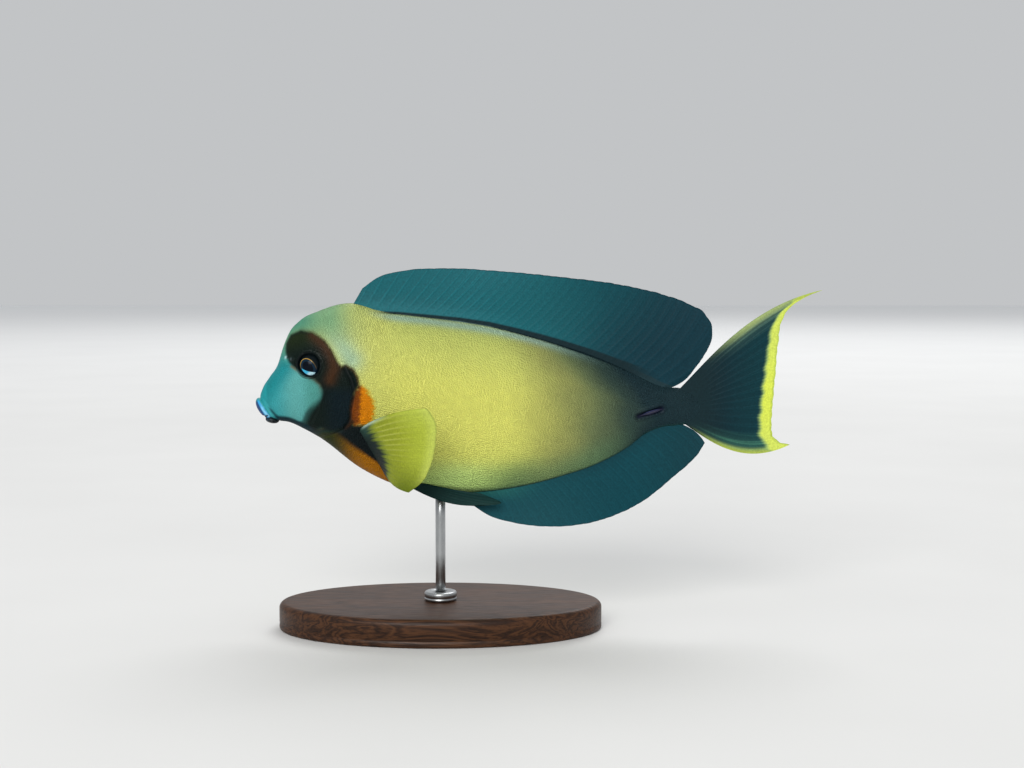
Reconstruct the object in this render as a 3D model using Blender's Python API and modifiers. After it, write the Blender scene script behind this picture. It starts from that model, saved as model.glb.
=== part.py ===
"""Chocolate surgeonfish, life size, swimming level, as a still model on a one-rod stand.

Metres, +Z up. The snout points to -X and the left side faces -Y. The origin is on the floor, under
the middle of the model. On the fish, places are in millimetres: s behind the front of the lips,
y to the right of the middle plane, and z above the body's axis."""

import math

import bmesh
import bpy
from mathutils import Matrix, Vector

MM = 0.001

# Driving sizes, in millimetres
TOTAL_LENGTH = 228.0  # front of the lips to the tip of the upper tail lobe
AXIS_HEIGHT = 88.0  # the body's axis above the floor
GAP = 0.3  # clearance that touching pieces keep

# Body: rows of the loft, and the thin cuts that part it
BODY_START, BODY_END = 2.2, 179.0
BODY_RINGS, RING_POINTS = 48, 36
FRONT_CROWDING = 1.6  # above 1, the rings stand closer on the head
TRUNK_END = 150.0
TRUNK_END_LEAN = 4.0
SIDE_REACH = 40.0  # half the width of the cutting prisms

# Gill cover
GILL_DEPTH = 6.0  # the plate's inner face, from the middle plane
GILL_PROUD = 0.5

# Eye: a flattened ball, wider than it is deep
EYE_S, EYE_Z = 22.7, 18.5
EYE_RADIUS, EYE_HALF_DEPTH = 4.6, 3.6
EYE_SINK = 2.0  # the ball's centre below the skin
ORBIT_RADIUS, ORBIT_ROLL, ORBIT_SINK = 4.75, 0.9, 0.25

# Nostrils: a larger front one and a smaller rear one on each side
NOSTRILS = ((13.9, 21.2, 0.62), (15.9, 20.5, 0.42))
NOSTRIL_DEPTH = 1.4

# Lips, each a leaning ellipsoid round the front of the snout
UPPER_LIP = {"s": 3.7, "z": 0.7, "half": (2.5, 3.6, 5.0), "lean": -36.0}
LOWER_LIP = {"s": 6.8, "z": -3.9, "half": (2.8, 3.0, 1.5), "lean": 10.0}

# Folding spine on each side of the tail stem, in its groove
SPINE_S, SPINE_Z, SPINE_LEAN = 157.8, -0.8, -17.5
SPINE_HALF = (4.6, 0.75, 0.8)

# Fins: half of the sheet's thickness, and how far a ray stands out of each face
RAY_HEIGHT = 0.26
RAY_FOOT = 0.27  # half a ray's width, as a share of the pitch
SHEET_MARGIN = 0.3
DORSAL_BASE = (38.4, 162.5)
ANAL_BASE = (85.0, 167.0)
FIN_WAVE = 1.3  # sideways swing of the dorsal and anal margins
TAIL_SWING = 4.5  # sideways swing of the tail fin's tips
TAIL_ROOT_S = 168.0
TAIL_PARTING = 0.36  # the ray, from the top, where the tail fin parts into two nodes
PECTORAL_SINK = 2.0
PELVIC_ROOT_Y, PELVIC_TIP_Y = 4.0, 6.2

# Stand
STAND_CENTRE_S = 74.0
BASE_LENGTH, BASE_WIDTH, BASE_HEIGHT = 130.0, 78.0, 11.0
BASE_BEVEL = 2.0
ROD_RADIUS = 2.0
COLLAR_RADIUS, COLLAR_HEIGHT = 6.5, 3.5


def smooth(*points):
    """A smooth curve of one variable through (position, value) points."""
    xs, ys = zip(*points)
    last = len(points) - 1
    rises = [(ys[i + 1] - ys[i]) / (xs[i + 1] - xs[i]) for i in range(last)]
    slopes = [rises[0]]
    for i in range(1, last):
        before, after = xs[i] - xs[i - 1], xs[i + 1] - xs[i]
        slopes.append((rises[i - 1] * after + rises[i] * before) / (before + after))
    slopes.append(rises[-1])

    def value(x):
        i = min(max(sum(x >= known for known in xs) - 1, 0), last - 1)
        width = xs[i + 1] - xs[i]
        t = min(max((x - xs[i]) / width, 0.0), 1.0)
        rise = ys[i + 1] - ys[i]
        start, end = slopes[i] * width, slopes[i + 1] * width
        return ys[i] + t * (start + t * (3 * rise - 2 * start - end + t * (start + end - 2 * rise)))

    return value


# Outline of the body without its fins, seen from the side, and its half width seen from above
BACK = smooth(
    (2.2, 6.4), (3.2, 9), (6, 13.4), (9.6, 19.2), (11.4, 25), (14, 31.2), (18, 35.7), (26, 39.8),
    (38, 42.8), (50, 39.9), (74, 36.7), (98, 32.9), (122, 26.5), (138, 21), (150, 15.7),
    (158, 11.6), (164, 9.3), (170, 8.9), (174.5, 7.6), (177.4, 5), (179, 1.9),
)
BELLY = smooth(
    (2.2, 2.4), (3.6, -0.8), (5.6, -3), (8, -4), (14, -5.1), (20, -7.9), (26, -11.3), (42, -23.4),
    (58, -30.8),
    (74, -32.9), (90, -33.3), (106, -31.2), (122, -27.2), (138, -21.6), (150, -14.8), (156, -10),
    (163, -7.1), (170, -6.3), (174.5, -5), (177.4, -2.4), (179, 0.3),
)
HALF_WIDTH = smooth(
    (2.2, 1.9), (3.4, 3.2), (6, 4.5), (10, 5.9), (16, 7.7), (24, 9.7), (36, 12), (50, 13.2), (66, 13.4),
    (90, 12.3), (114, 9.9), (134, 7.2), (150, 4.9), (162, 3.6), (170, 2.4), (175, 1.5), (179, 0.6),
)
# 1 is a plain oval section, and more draws the back and belly out to an edge
RIDGE = smooth((2.2, 1.0), (20, 1.0), (40, 1.12), (66, 1.25), (140, 1.25), (179, 1.0))

# Rear edge of the head, from the nape round the gill opening to the throat
HEAD_EDGE = (
    (39.4, 50), (38.8, 43), (37.4, 33), (36.3, 24), (37, 17.4), (39.4, 13.4), (40.9, 8.6), (40.4, 3),
    (39, -3), (36.4, -7), (31.6, -9.4), (25.6, -11), (20, -13.4),
)
# Front edge of the gill cover, from its top corner down
GILL_FRONT = ((34, 17.6), (31.4, 14.6), (28.8, 10.4), (26.8, 5.4), (24.8, 0), (22.2, -4.8), (18, -9))


def place(s, y, z):
    """A point of the fish, in metres."""
    return Vector(((s - TOTAL_LENGTH / 2) * MM, y * MM, (z + AXIS_HEIGHT) * MM))


def side_of_body(s, z):
    """Half the body's width at a station and height."""
    middle, half = (BACK(s) + BELLY(s)) / 2, (BACK(s) - BELLY(s)) / 2
    share = min(abs(z - middle) / half, 1.0)
    return HALF_WIDTH(s) * (1 - share * share) ** (RIDGE(s) / 2)


def facing_out(s, z, side):
    """The direction that the body's side faces, at a place on its flank."""
    step = 0.5
    lean_s = (side_of_body(s + step, z) - side_of_body(s - step, z)) / (2 * step)
    lean_z = (side_of_body(s, z + step) - side_of_body(s, z - step)) / (2 * step)
    return Vector((-lean_s, side, -lean_z)).normalized()


def material(name, colour, roughness=0.45, metallic=0.0):
    made = bpy.data.materials.new(name)
    made.use_nodes = True
    shader = made.node_tree.nodes["Principled BSDF"]
    shader.inputs["Base Color"].default_value = (*colour, 1.0)
    shader.inputs["Roughness"].default_value = roughness
    shader.inputs["Metallic"].default_value = metallic
    return made


def mesh_object(name, points, faces, finish=None):
    mesh = bpy.data.meshes.new(name)
    mesh.from_pydata(points, [], faces)
    shell = bmesh.new()
    shell.from_mesh(mesh)
    bmesh.ops.recalc_face_normals(shell, faces=shell.faces)
    shell.to_mesh(mesh)
    shell.free()
    made = bpy.data.objects.new(name, mesh)
    bpy.context.scene.collection.objects.link(made)
    if finish:
        mesh.materials.append(finish)
    return made


def body(name, grow=0.0):
    """The whole body in one closed loft, or one that is larger all round."""
    points, faces = [], []
    length = BODY_END - BODY_START
    for i in range(BODY_RINGS + 1):
        share = (i / BODY_RINGS) ** FRONT_CROWDING
        s = BODY_START + length * share
        back, belly = BACK(s) + grow, BELLY(s) - grow
        middle, half = (back + belly) / 2, (back - belly) / 2
        for k in range(RING_POINTS):
            turn = math.tau * k / RING_POINTS
            bulge = math.copysign(abs(math.sin(turn)) ** RIDGE(s), math.sin(turn))
            y = (HALF_WIDTH(s) + grow) * bulge
            points.append(place(s + grow * (2 * share - 1), y, middle + half * math.cos(turn)))
    for i in range(BODY_RINGS):
        for k in range(RING_POINTS):
            a, b = i * RING_POINTS + k, i * RING_POINTS + (k + 1) % RING_POINTS
            faces.append((a, b, b + RING_POINTS, a + RING_POINTS))
    faces.append(tuple(range(RING_POINTS)))
    faces.append(tuple(range(BODY_RINGS * RING_POINTS, len(points))))
    return mesh_object(name, points, faces)


def beside(line, distance):
    """The line moved sideways in its plane, to its left for a positive distance."""
    moved = []
    for i, (s, z) in enumerate(line):
        before, after = line[max(i - 1, 0)], line[min(i + 1, len(line) - 1)]
        along = Vector((after[0] - before[0], after[1] - before[1])).normalized()
        moved.append((s - along.y * distance, z + along.x * distance))
    return moved


def rounded(line, steps=3):
    """More points on a smooth curve through the line's own."""
    by_s = smooth(*[(i, p[0]) for i, p in enumerate(line)])
    by_z = smooth(*[(i, p[1]) for i, p in enumerate(line)])
    count = (len(line) - 1) * steps
    return [(by_s(i / steps), by_z(i / steps)) for i in range(count + 1)]


def prism(name, outline, low_y=-SIDE_REACH, high_y=SIDE_REACH):
    """A flat outline in the middle plane, drawn out sideways."""
    count = len(outline)
    points = [place(s, y, z) for y in (low_y, high_y) for s, z in outline]
    faces = [tuple(range(count)), tuple(range(2 * count - 1, count - 1, -1))]
    faces += [(k, (k + 1) % count, (k + 1) % count + count, k + count) for k in range(count)]
    return mesh_object(name, points, faces)


def ellipsoid(name, centre, half, turn, segments=20, rings=12, finish=None):
    """A ball squeezed to its three half sizes and then turned."""
    shell = bmesh.new()
    bmesh.ops.create_uvsphere(shell, u_segments=segments, v_segments=rings, radius=1.0)
    shape = turn @ Matrix.Diagonal((*half, 1.0))
    bmesh.ops.transform(shell, matrix=Matrix.Scale(MM, 4) @ shape, verts=shell.verts)
    bmesh.ops.translate(shell, vec=centre, verts=shell.verts)
    made = mesh_object(name, [], [], finish)
    shell.to_mesh(made.data)
    shell.free()
    soften(made)
    return made


def leant(degrees):
    return Matrix.Rotation(math.radians(degrees), 4, "Y")


def turned_to(direction):
    """Turns a shape's Z axis to a direction."""
    return direction.to_track_quat("Z", "Y").to_matrix().to_4x4()


def keep_largest(shape):
    """Leaves only the largest closed surface of the mesh."""
    shell = bmesh.new()
    shell.from_mesh(shape.data)
    left, surfaces = set(shell.faces), []
    while left:
        surface, edge = set(), [left.pop()]
        while edge:
            face = edge.pop()
            surface.add(face)
            near = {f for e in face.edges for f in e.link_faces} & left
            left -= near
            edge.extend(near)
        surfaces.append(surface)
    surfaces.sort(key=lambda surface: sum(face.calc_area() for face in surface))
    loose = [face for surface in surfaces[:-1] for face in surface]
    bmesh.ops.delete(shell, geom=loose, context="FACES")
    shell.to_mesh(shape.data)
    shell.free()


def soften(shape):
    """Shades the surface smooth between its creases."""
    shape.data.shade_smooth()
    shape.data.set_sharp_from_angle(angle=math.radians(35))


def combine(shape, operation, *tools):
    """Applies a Boolean of the shape with each tool, and keeps one closed surface."""
    for tool in tools:
        modifier = shape.modifiers.new(operation, "BOOLEAN")
        modifier.operation, modifier.solver, modifier.object = operation, "EXACT", tool
    graph = bpy.context.evaluated_depsgraph_get()
    made = bpy.data.meshes.new_from_object(shape.evaluated_get(graph))
    shape.modifiers.clear()
    shape.data = made
    keep_largest(shape)
    soften(shape)
    return shape


def copy_of(shape, name, finish):
    made = bpy.data.objects.new(name, shape.data.copy())
    bpy.context.scene.collection.objects.link(made)
    made.data.materials.clear()
    made.data.materials.append(finish)
    return made


def discard(*shapes):
    for shape in shapes:
        bpy.data.objects.remove(shape)


def ray_columns(rays):
    """(place across the fin, on a ray) for each column: a crest on each ray between two feet."""
    columns = [(0.0, False)]
    for k in range(rays):
        crest = (k + 0.5) / rays
        columns += [(crest - RAY_FOOT / rays, False), (crest, True), (crest + RAY_FOOT / rays, False)]
    return columns + [(1.0, False)]


def fin(name, middle, root_half, rays, rows, finish):
    """A sheet with raised rays. middle(u, v) is its middle surface in metres: u runs across the
    rays and v from the root to the margin. Both faces are split into like triangles."""
    step = 0.002
    columns = ray_columns(rays)
    points = []
    for u, crest in columns:
        for j in range(rows + 1):
            v = j / rows
            here = middle(u, v)
            across = middle(min(u + step, 1.0), v) - middle(max(u - step, 0.0), v)
            along = middle(u, min(v + step, 1.0)) - middle(u, max(v - step, 0.0))
            facing = across.cross(along).normalized()
            half = root_half + (SHEET_MARGIN - root_half) * v**0.7
            if crest:
                half += RAY_HEIGHT * (1 - 0.75 * v)
            points += [here + facing * half * MM, here - facing * half * MM]

    def corner(i, j, face):
        return 2 * (i * (rows + 1) + j) + face

    faces = []
    for i in range(len(columns) - 1):
        for j in range(rows):
            for face in (0, 1):
                a, b = corner(i, j, face), corner(i + 1, j, face)
                c, d = corner(i + 1, j + 1, face), corner(i, j + 1, face)
                faces += [(a, b, c), (a, c, d)]
        for j in (0, rows):
            faces.append((corner(i, j, 0), corner(i + 1, j, 0), corner(i + 1, j, 1), corner(i, j, 1)))
    for i in (0, len(columns) - 1):
        for j in range(rows):
            faces.append((corner(i, j, 0), corner(i, j + 1, 0), corner(i, j + 1, 1), corner(i, j, 1)))
    return mesh_object(name, points, faces, finish)


def bowed(root, tip, bow, v):
    """A point on a ray in the middle plane, bowed to the left of its way from root to tip."""
    way = Vector(tip) - Vector(root)
    left = Vector((-way.y, way.x)).normalized()
    late = max(v, 0.0) ** 1.25
    return Vector(root) + way * v + left * bow * 4 * late * (1 - late)


# Tips of the rays, as (place across the fin, s, z) along each margin
DORSAL_TIPS = (
    (0, 43.2, 48.6), (0.03, 49.4, 53), (0.08, 60.6, 55.8), (0.16, 76, 56.6), (0.3, 96.8, 55.6),
    (0.5, 122.4, 53.2), (0.7, 148, 49.8), (0.82, 164, 46), (0.9, 174, 42.2), (0.94, 179.8, 38.6),
    (0.965, 182.8, 33), (0.985, 181.6, 25.6), (1, 176.2, 18.6),
)
ANAL_TIPS = (
    (0, 86.4, -38), (0.05, 93.4, -42.5), (0.12, 103.4, -45.4), (0.24, 118.2, -47), (0.36, 131, -46.2),
    (0.5, 143, -43.2), (0.66, 155.6, -37), (0.82, 167.4, -27.2), (0.93, 176.6, -18.6), (1, 180.0, -13.2),
)
TAIL_TIPS = (
    (0, 228, 48), (0.05, 222.6, 46), (0.1, 217.6, 43.4), (0.16, 213.4, 40), (0.22, 211, 35.6),
    (0.32, 209.7, 28), (0.5, 208.6, 14.4), (0.7, 207.5, 0.2), (0.82, 207.3, -7.6), (0.9, 208.6, -11.6),
    (0.95, 211.4, -13.4), (1, 215.2, -14.0),
)
PECTORAL_TIPS = (  # with y, the reach out from the middle plane
    (0, 71, 4.2, 42), (0.12, 73.8, 0.2, 42.4), (0.35, 74.2, -8.4, 40.2), (0.6, 72.2, -17.6, 36.4),
    (0.8, 68.8, -24.6, 32), (1, 63, -29.8, 26),
)
PELVIC_TIPS = ((0, 88.6, -37.7), (0.35, 94.2, -37.6), (0.65, 98.6, -36.5), (1, 90.6, -32.9))


def margin(tips, column):
    return smooth(*[(tip[0], tip[column]) for tip in tips])


def dorsal_middle():
    tip_s, tip_z = margin(DORSAL_TIPS, 1), margin(DORSAL_TIPS, 2)

    def middle(u, v):
        s = DORSAL_BASE[0] + (DORSAL_BASE[1] - DORSAL_BASE[0]) * u
        root_drop = 2.4
        at = bowed((s, BACK(s) - root_drop), (tip_s(u), tip_z(u)), -2.4 * u, v)
        swing = FIN_WAVE * v * v * math.sin(math.tau * 1.5 * u)
        return place(at.x, swing, at.y)

    return middle


def anal_middle():
    tip_s, tip_z = margin(ANAL_TIPS, 1), margin(ANAL_TIPS, 2)

    def middle(u, v):
        s = ANAL_BASE[0] + (ANAL_BASE[1] - ANAL_BASE[0]) * u
        root_rise = 2.4
        at = bowed((s, BELLY(s) + root_rise), (tip_s(u), tip_z(u)), 1.6 * u, v)
        swing = -FIN_WAVE * v * v * math.sin(math.tau * 1.25 * u)
        return place(at.x, swing, at.y)

    return middle


def tail_ray(u, v):
    """A point on a ray of the tail fin, seen from the side."""
    root = (TAIL_ROOT_S + 4 * math.sin(math.pi * u), 6.8 - 10 * u)
    tip = (margin(TAIL_TIPS, 1)(u), margin(TAIL_TIPS, 2)(u))
    return bowed(root, tip, 6.3 * (1 - 2 * u) ** 3 - 1.5 * u**4, v)


def tail_middle():
    def middle(u, v):
        at = tail_ray(u, v)
        swing = TAIL_SWING * ((at.x - TAIL_ROOT_S) / (TOTAL_LENGTH - TAIL_ROOT_S)) ** 2
        return place(at.x, swing, at.y)

    return middle


def pectoral_middle(side):
    tip_s, tip_z, tip_y = (margin(PECTORAL_TIPS, column) for column in (1, 2, 3))

    def middle(u, v):
        s, z = 41.8 + 10.4 * u, -7.4 - 16.8 * u
        root = Vector((s, side_of_body(s, z) - PECTORAL_SINK, z))
        tip = Vector((tip_s(u), tip_y(u), tip_z(u)))
        cup = Vector((-1.4, 1.8, 2.0 - 3.0 * u)) * 4 * v * (1 - v)
        at = root.lerp(tip, v) + cup
        return place(at.x, side * at.y, at.z)

    return middle


def pelvic_middle(side):
    tip_s, tip_z = margin(PELVIC_TIPS, 1), margin(PELVIC_TIPS, 2)

    def middle(u, v):
        root = (56.4 + 4.6 * u, -27.6)
        at = bowed(root, (tip_s(u), tip_z(u)), -2.6 + 2.2 * u, v)
        reach = PELVIC_ROOT_Y + (PELVIC_TIP_Y - PELVIC_ROOT_Y) * v
        return place(at.x, side * reach, at.y)

    return middle


SIDES = {"left": -1, "right": 1}


def build_body(finishes):
    """Head, gill covers, trunk and tail stem, parted from one loft by thin cuts."""
    whole, fuller = body("whole"), body("fuller", GILL_PROUD)
    edge = rounded(HEAD_EDGE)
    tail_cut = [(TRUNK_END - TRUNK_END_LEAN, 60), (TRUNK_END + TRUNK_END_LEAN, -60)]
    trunk_edge = beside(edge, GAP)
    head_block = prism("head_block", edge + [(-20, -60), (-20, 70)])
    trunk_low, trunk_high = (trunk_edge[-1][0] - 5, -60), (trunk_edge[0][0], 60)
    trunk_block = prism("trunk_block", trunk_edge + [trunk_low, tail_cut[1], tail_cut[0], trunk_high])
    rear_cut = beside(tail_cut, GAP)
    stem_block = prism("stem_block", rear_cut + [(200, -60), (200, 60)])

    head = combine(copy_of(whole, "head", finishes["face"]), "INTERSECT", head_block)
    torso = combine(copy_of(whole, "torso", finishes["flank"]), "INTERSECT", trunk_block)
    stem = combine(copy_of(whole, "tail_stem", finishes["dark"]), "INTERSECT", stem_block)

    plate_line = rounded(GILL_FRONT)
    slot_line = beside(plate_line, -GAP)
    far = [(50, -16), (50, 17.6)]
    proud_head = combine(copy_of(fuller, "proud_head", finishes["band"]), "INTERSECT", head_block)
    for word, side in SIDES.items():
        inner, outer = sorted((side * GILL_DEPTH, side * SIDE_REACH))
        plate_block = prism("plate_block", plate_line + far, inner, outer)
        inner, outer = sorted((side * (GILL_DEPTH - GAP), side * SIDE_REACH))
        slot_block = prism("slot_block", slot_line + [(50, -17), (50, 18)], inner, outer)
        plate = copy_of(proud_head, f"gill_cover_{word}", finishes["band"])
        combine(plate, "INTERSECT", plate_block)
        combine(head, "DIFFERENCE", slot_block)
        discard(plate_block, slot_block)
    discard(whole, fuller, head_block, trunk_block, stem_block, proud_head)
    return head, torso, stem


def build_eyes(head, finish):
    surface = side_of_body(EYE_S, EYE_Z)
    for word, side in SIDES.items():
        turn = turned_to(facing_out(EYE_S, EYE_Z, side))
        out = turn.to_3x3() @ Vector((0, 0, 1))
        skin = place(EYE_S, side * surface, EYE_Z)
        centre = skin - out * EYE_SINK * MM
        half = (EYE_RADIUS, EYE_RADIUS, EYE_HALF_DEPTH)
        ellipsoid(f"eye_{word}", centre, half, turn, segments=18, rings=8, finish=finish)
        socket = ellipsoid("socket", centre, [size + GAP for size in half], turn, 18, 8)
        bpy.ops.mesh.primitive_torus_add(
            location=skin - out * ORBIT_SINK * MM,
            rotation=turn.to_euler(),
            major_segments=26,
            minor_segments=6,
            major_radius=ORBIT_RADIUS * MM,
            minor_radius=ORBIT_ROLL * MM,
        )
        rim = bpy.context.object
        combine(head, "UNION", rim)
        combine(head, "DIFFERENCE", socket)
        discard(rim, socket)


def build_nostrils(head):
    for s, z, radius in NOSTRILS:
        for side in SIDES.values():
            centre = place(s, side * side_of_body(s, z), z)
            half = (radius, radius, NOSTRIL_DEPTH)
            pit = ellipsoid("pit", centre, half, turned_to(facing_out(s, z, side)), 8, 6)
            combine(head, "DIFFERENCE", pit)
            discard(pit)


def build_lips(clear_body, finishes):
    """The lips end a thin clearance off the snout, and off each other along the line of the mouth."""
    made = []
    for name, lip in (("lip_upper", UPPER_LIP), ("lip_lower", LOWER_LIP)):
        centre = place(lip["s"], 0, lip["z"])
        made.append(ellipsoid(name, centre, lip["half"], leant(lip["lean"]), 16, 10, finishes[name]))
    upper_lip, lower_lip = made
    larger = [size + GAP for size in UPPER_LIP["half"]]
    centre = place(UPPER_LIP["s"], 0, UPPER_LIP["z"])
    mouth = ellipsoid("mouth", centre, larger, leant(UPPER_LIP["lean"]), 16, 10)
    combine(lower_lip, "DIFFERENCE", mouth, clear_body)
    combine(upper_lip, "DIFFERENCE", clear_body)
    discard(mouth)


def build_tail_spines(stem, finish):
    surface = side_of_body(SPINE_S, SPINE_Z)
    for word, side in SIDES.items():
        centre = place(SPINE_S, side * surface, SPINE_Z)
        turn = leant(SPINE_LEAN)
        ellipsoid(f"tail_spine_{word}", centre, SPINE_HALF, turn, 10, 8, finish)
        groove = ellipsoid("groove", centre, [size + GAP for size in SPINE_HALF], turn, 10, 8)
        combine(stem, "DIFFERENCE", groove)
        discard(groove)


def build_tail_fin(finish):
    """One sheet parted along a ray, so that neither node reaches round the crescent."""
    whole = fin("whole_tail", tail_middle(), 1.3, 17, 5, finish)
    ray = [tail_ray(TAIL_PARTING, step / 4) for step in range(-1, 5)]
    line = [(at.x, at.y) for at in ray] + [(260, 2 * ray[-1].y - ray[-2].y)]
    upper_block = prism("upper_block", line + [(260, 90), (140, 90)])
    lower_block = prism("lower_block", beside(line, -GAP) + [(260, -60), (140, -60)])
    upper = combine(copy_of(whole, "tail_fin_upper", finish), "INTERSECT", upper_block)
    lower = combine(copy_of(whole, "tail_fin_lower", finish), "INTERSECT", lower_block)
    discard(whole, upper_block, lower_block)
    return upper, lower


def build_fins(clear_body, finishes):
    made = [
        fin("dorsal_fin", dorsal_middle(), 0.9, 36, 3, finishes["fin"]),
        fin("anal_fin", anal_middle(), 0.9, 27, 3, finishes["fin"]),
        *build_tail_fin(finishes["tail"]),
    ]
    for word, side in SIDES.items():
        made.append(fin(f"pectoral_fin_{word}", pectoral_middle(side), 0.9, 14, 4, finishes["pectoral"]))
        made.append(fin(f"pelvic_fin_{word}", pelvic_middle(side), 1.0, 6, 4, finishes["pelvic"]))
    for shape in made:
        combine(shape, "DIFFERENCE", clear_body)


def build_stand(clear_body, wood, steel):
    centre = (STAND_CENTRE_S - TOTAL_LENGTH / 2) * MM
    bpy.ops.mesh.primitive_cylinder_add(
        vertices=40,
        radius=0.5 * MM,
        depth=BASE_HEIGHT * MM,
        location=(centre, 0, BASE_HEIGHT / 2 * MM),
    )
    base = bpy.context.object
    base.name = "stand_base"
    base.scale = (BASE_LENGTH, BASE_WIDTH, 1.0)
    bpy.ops.object.transform_apply(location=False, rotation=False)
    bevel = base.modifiers.new("edge", "BEVEL")
    bevel.width, bevel.segments, bevel.limit_method = BASE_BEVEL * MM, 2, "ANGLE"
    base.data.materials.append(wood)

    foot, top = BASE_HEIGHT + GAP, AXIS_HEIGHT + BELLY(STAND_CENTRE_S) + 2
    bpy.ops.mesh.primitive_cylinder_add(
        vertices=20,
        radius=ROD_RADIUS * MM,
        depth=(top - foot) * MM,
        location=(centre, 0, (top + foot) / 2 * MM),
    )
    rod = bpy.context.object
    rod.name = "stand_rod"
    rod.data.materials.append(steel)
    combine(rod, "DIFFERENCE", clear_body)

    bpy.ops.mesh.primitive_cylinder_add(
        vertices=24,
        radius=COLLAR_RADIUS * MM,
        depth=COLLAR_HEIGHT * MM,
        location=(centre, 0, (foot + COLLAR_HEIGHT / 2) * MM),
    )
    collar = bpy.context.object
    collar.name = "stand_collar"
    collar.data.materials.append(steel)
    bpy.ops.mesh.primitive_cylinder_add(
        vertices=20,
        radius=(ROD_RADIUS + GAP) * MM,
        depth=3 * COLLAR_HEIGHT * MM,
        location=collar.location,
    )
    bore = bpy.context.object
    combine(collar, "DIFFERENCE", bore)
    discard(bore)


def main():
    for old in list(bpy.data.objects):
        bpy.data.objects.remove(old)
    finishes = {
        "face": material("blue_grey_face", (0.16, 0.42, 0.40)),
        "band": material("black_gill_band", (0.012, 0.02, 0.02)),
        "flank": material("yellow_flank", (0.55, 0.66, 0.13)),
        "dark": material("dark_tail_stem", (0.02, 0.045, 0.05)),
        "fin": material("teal_fin", (0.012, 0.10, 0.115)),
        "tail": material("dark_tail_fin", (0.012, 0.06, 0.065)),
        "pectoral": material("olive_pectoral", (0.33, 0.45, 0.03)),
        "pelvic": material("black_pelvic", (0.01, 0.025, 0.025)),
        "lip_upper": material("pale_blue_lip", (0.15, 0.42, 0.72)),
        "lip_lower": material("black_lip", (0.01, 0.02, 0.03)),
        "eye": material("eye", (0.005, 0.008, 0.02), 0.08),
        "spine": material("spine", (0.012, 0.014, 0.05), 0.3),
        "wood": material("dark_wood", (0.03, 0.02, 0.015)),
        "steel": material("steel", (0.6, 0.6, 0.6), 0.3, 1.0),
    }
    head, torso, stem = build_body(finishes)
    clear_body = body("clear_body", GAP)
    build_eyes(head, finishes["eye"])
    build_nostrils(head)
    build_lips(clear_body, finishes)
    build_tail_spines(stem, finishes["spine"])
    build_fins(clear_body, finishes)
    build_stand(clear_body, finishes["wood"], finishes["steel"])
    discard(clear_body)

    surgeonfish = bpy.data.collections.new("surgeonfish_on_stand")
    bpy.context.scene.collection.children.link(surgeonfish)
    for piece in list(bpy.context.scene.collection.objects):
        surgeonfish.objects.link(piece)
        bpy.context.scene.collection.objects.unlink(piece)


main()
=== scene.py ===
import math

import bpy
import numpy as np
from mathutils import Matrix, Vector


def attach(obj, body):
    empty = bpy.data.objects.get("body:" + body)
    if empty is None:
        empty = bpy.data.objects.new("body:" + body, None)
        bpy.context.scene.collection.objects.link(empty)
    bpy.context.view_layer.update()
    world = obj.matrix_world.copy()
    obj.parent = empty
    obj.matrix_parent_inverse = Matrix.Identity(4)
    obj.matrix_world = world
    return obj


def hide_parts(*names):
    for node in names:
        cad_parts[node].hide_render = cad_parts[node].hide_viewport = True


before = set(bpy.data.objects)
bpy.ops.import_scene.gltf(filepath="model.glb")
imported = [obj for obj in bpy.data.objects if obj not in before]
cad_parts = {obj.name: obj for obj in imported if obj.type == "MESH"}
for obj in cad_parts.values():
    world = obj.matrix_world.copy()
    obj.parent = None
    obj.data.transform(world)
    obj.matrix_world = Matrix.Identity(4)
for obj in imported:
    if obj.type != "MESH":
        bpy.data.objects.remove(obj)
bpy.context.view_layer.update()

# THE BODY'S SKIN. The animal is one closed skin from the snout to the root of the tail: a deep oval body
# pressed flat, with a steep forehead. Places on it are in millimetres: s behind the front of the lips,
# y to the right of the middle plane and z above the body's axis.

LENGTH = 228.0
AXIS_HEIGHT = 88.0
COAT_DEPTH = 0.14  # the skin lies this far inside the solids, and the scales fill it
SKIN_ROWS, SKIN_COLUMNS = 430, 220
SKIN_START, SKIN_END = 2.35, 178.8
CROWDING = 1.55  # rows crowd towards the head, which has the finest forms
MAP_LENGTH = 176.5  # what the skin's own map spans along the fish


def curve(*points):
    """A smooth line through (position, value) points, for a number or an array of them."""
    xs, ys = np.array(points, float).T
    widths = np.diff(xs)
    rises = np.diff(ys) / widths
    inner = (rises[:-1] * widths[1:] + rises[1:] * widths[:-1]) / (widths[1:] + widths[:-1])
    slopes = np.concatenate((rises[:1], inner, rises[-1:]))

    def value(x):
        i = np.clip(np.searchsorted(xs, x, side="right") - 1, 0, len(widths) - 1)
        t = np.clip((x - xs[i]) / widths[i], 0, 1)
        rise, start, end = ys[i + 1] - ys[i], slopes[i] * widths[i], slopes[i + 1] * widths[i]
        return ys[i] + t * (start + t * (3 * rise - 2 * start - end + t * (start + end - 2 * rise)))

    return value


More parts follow.
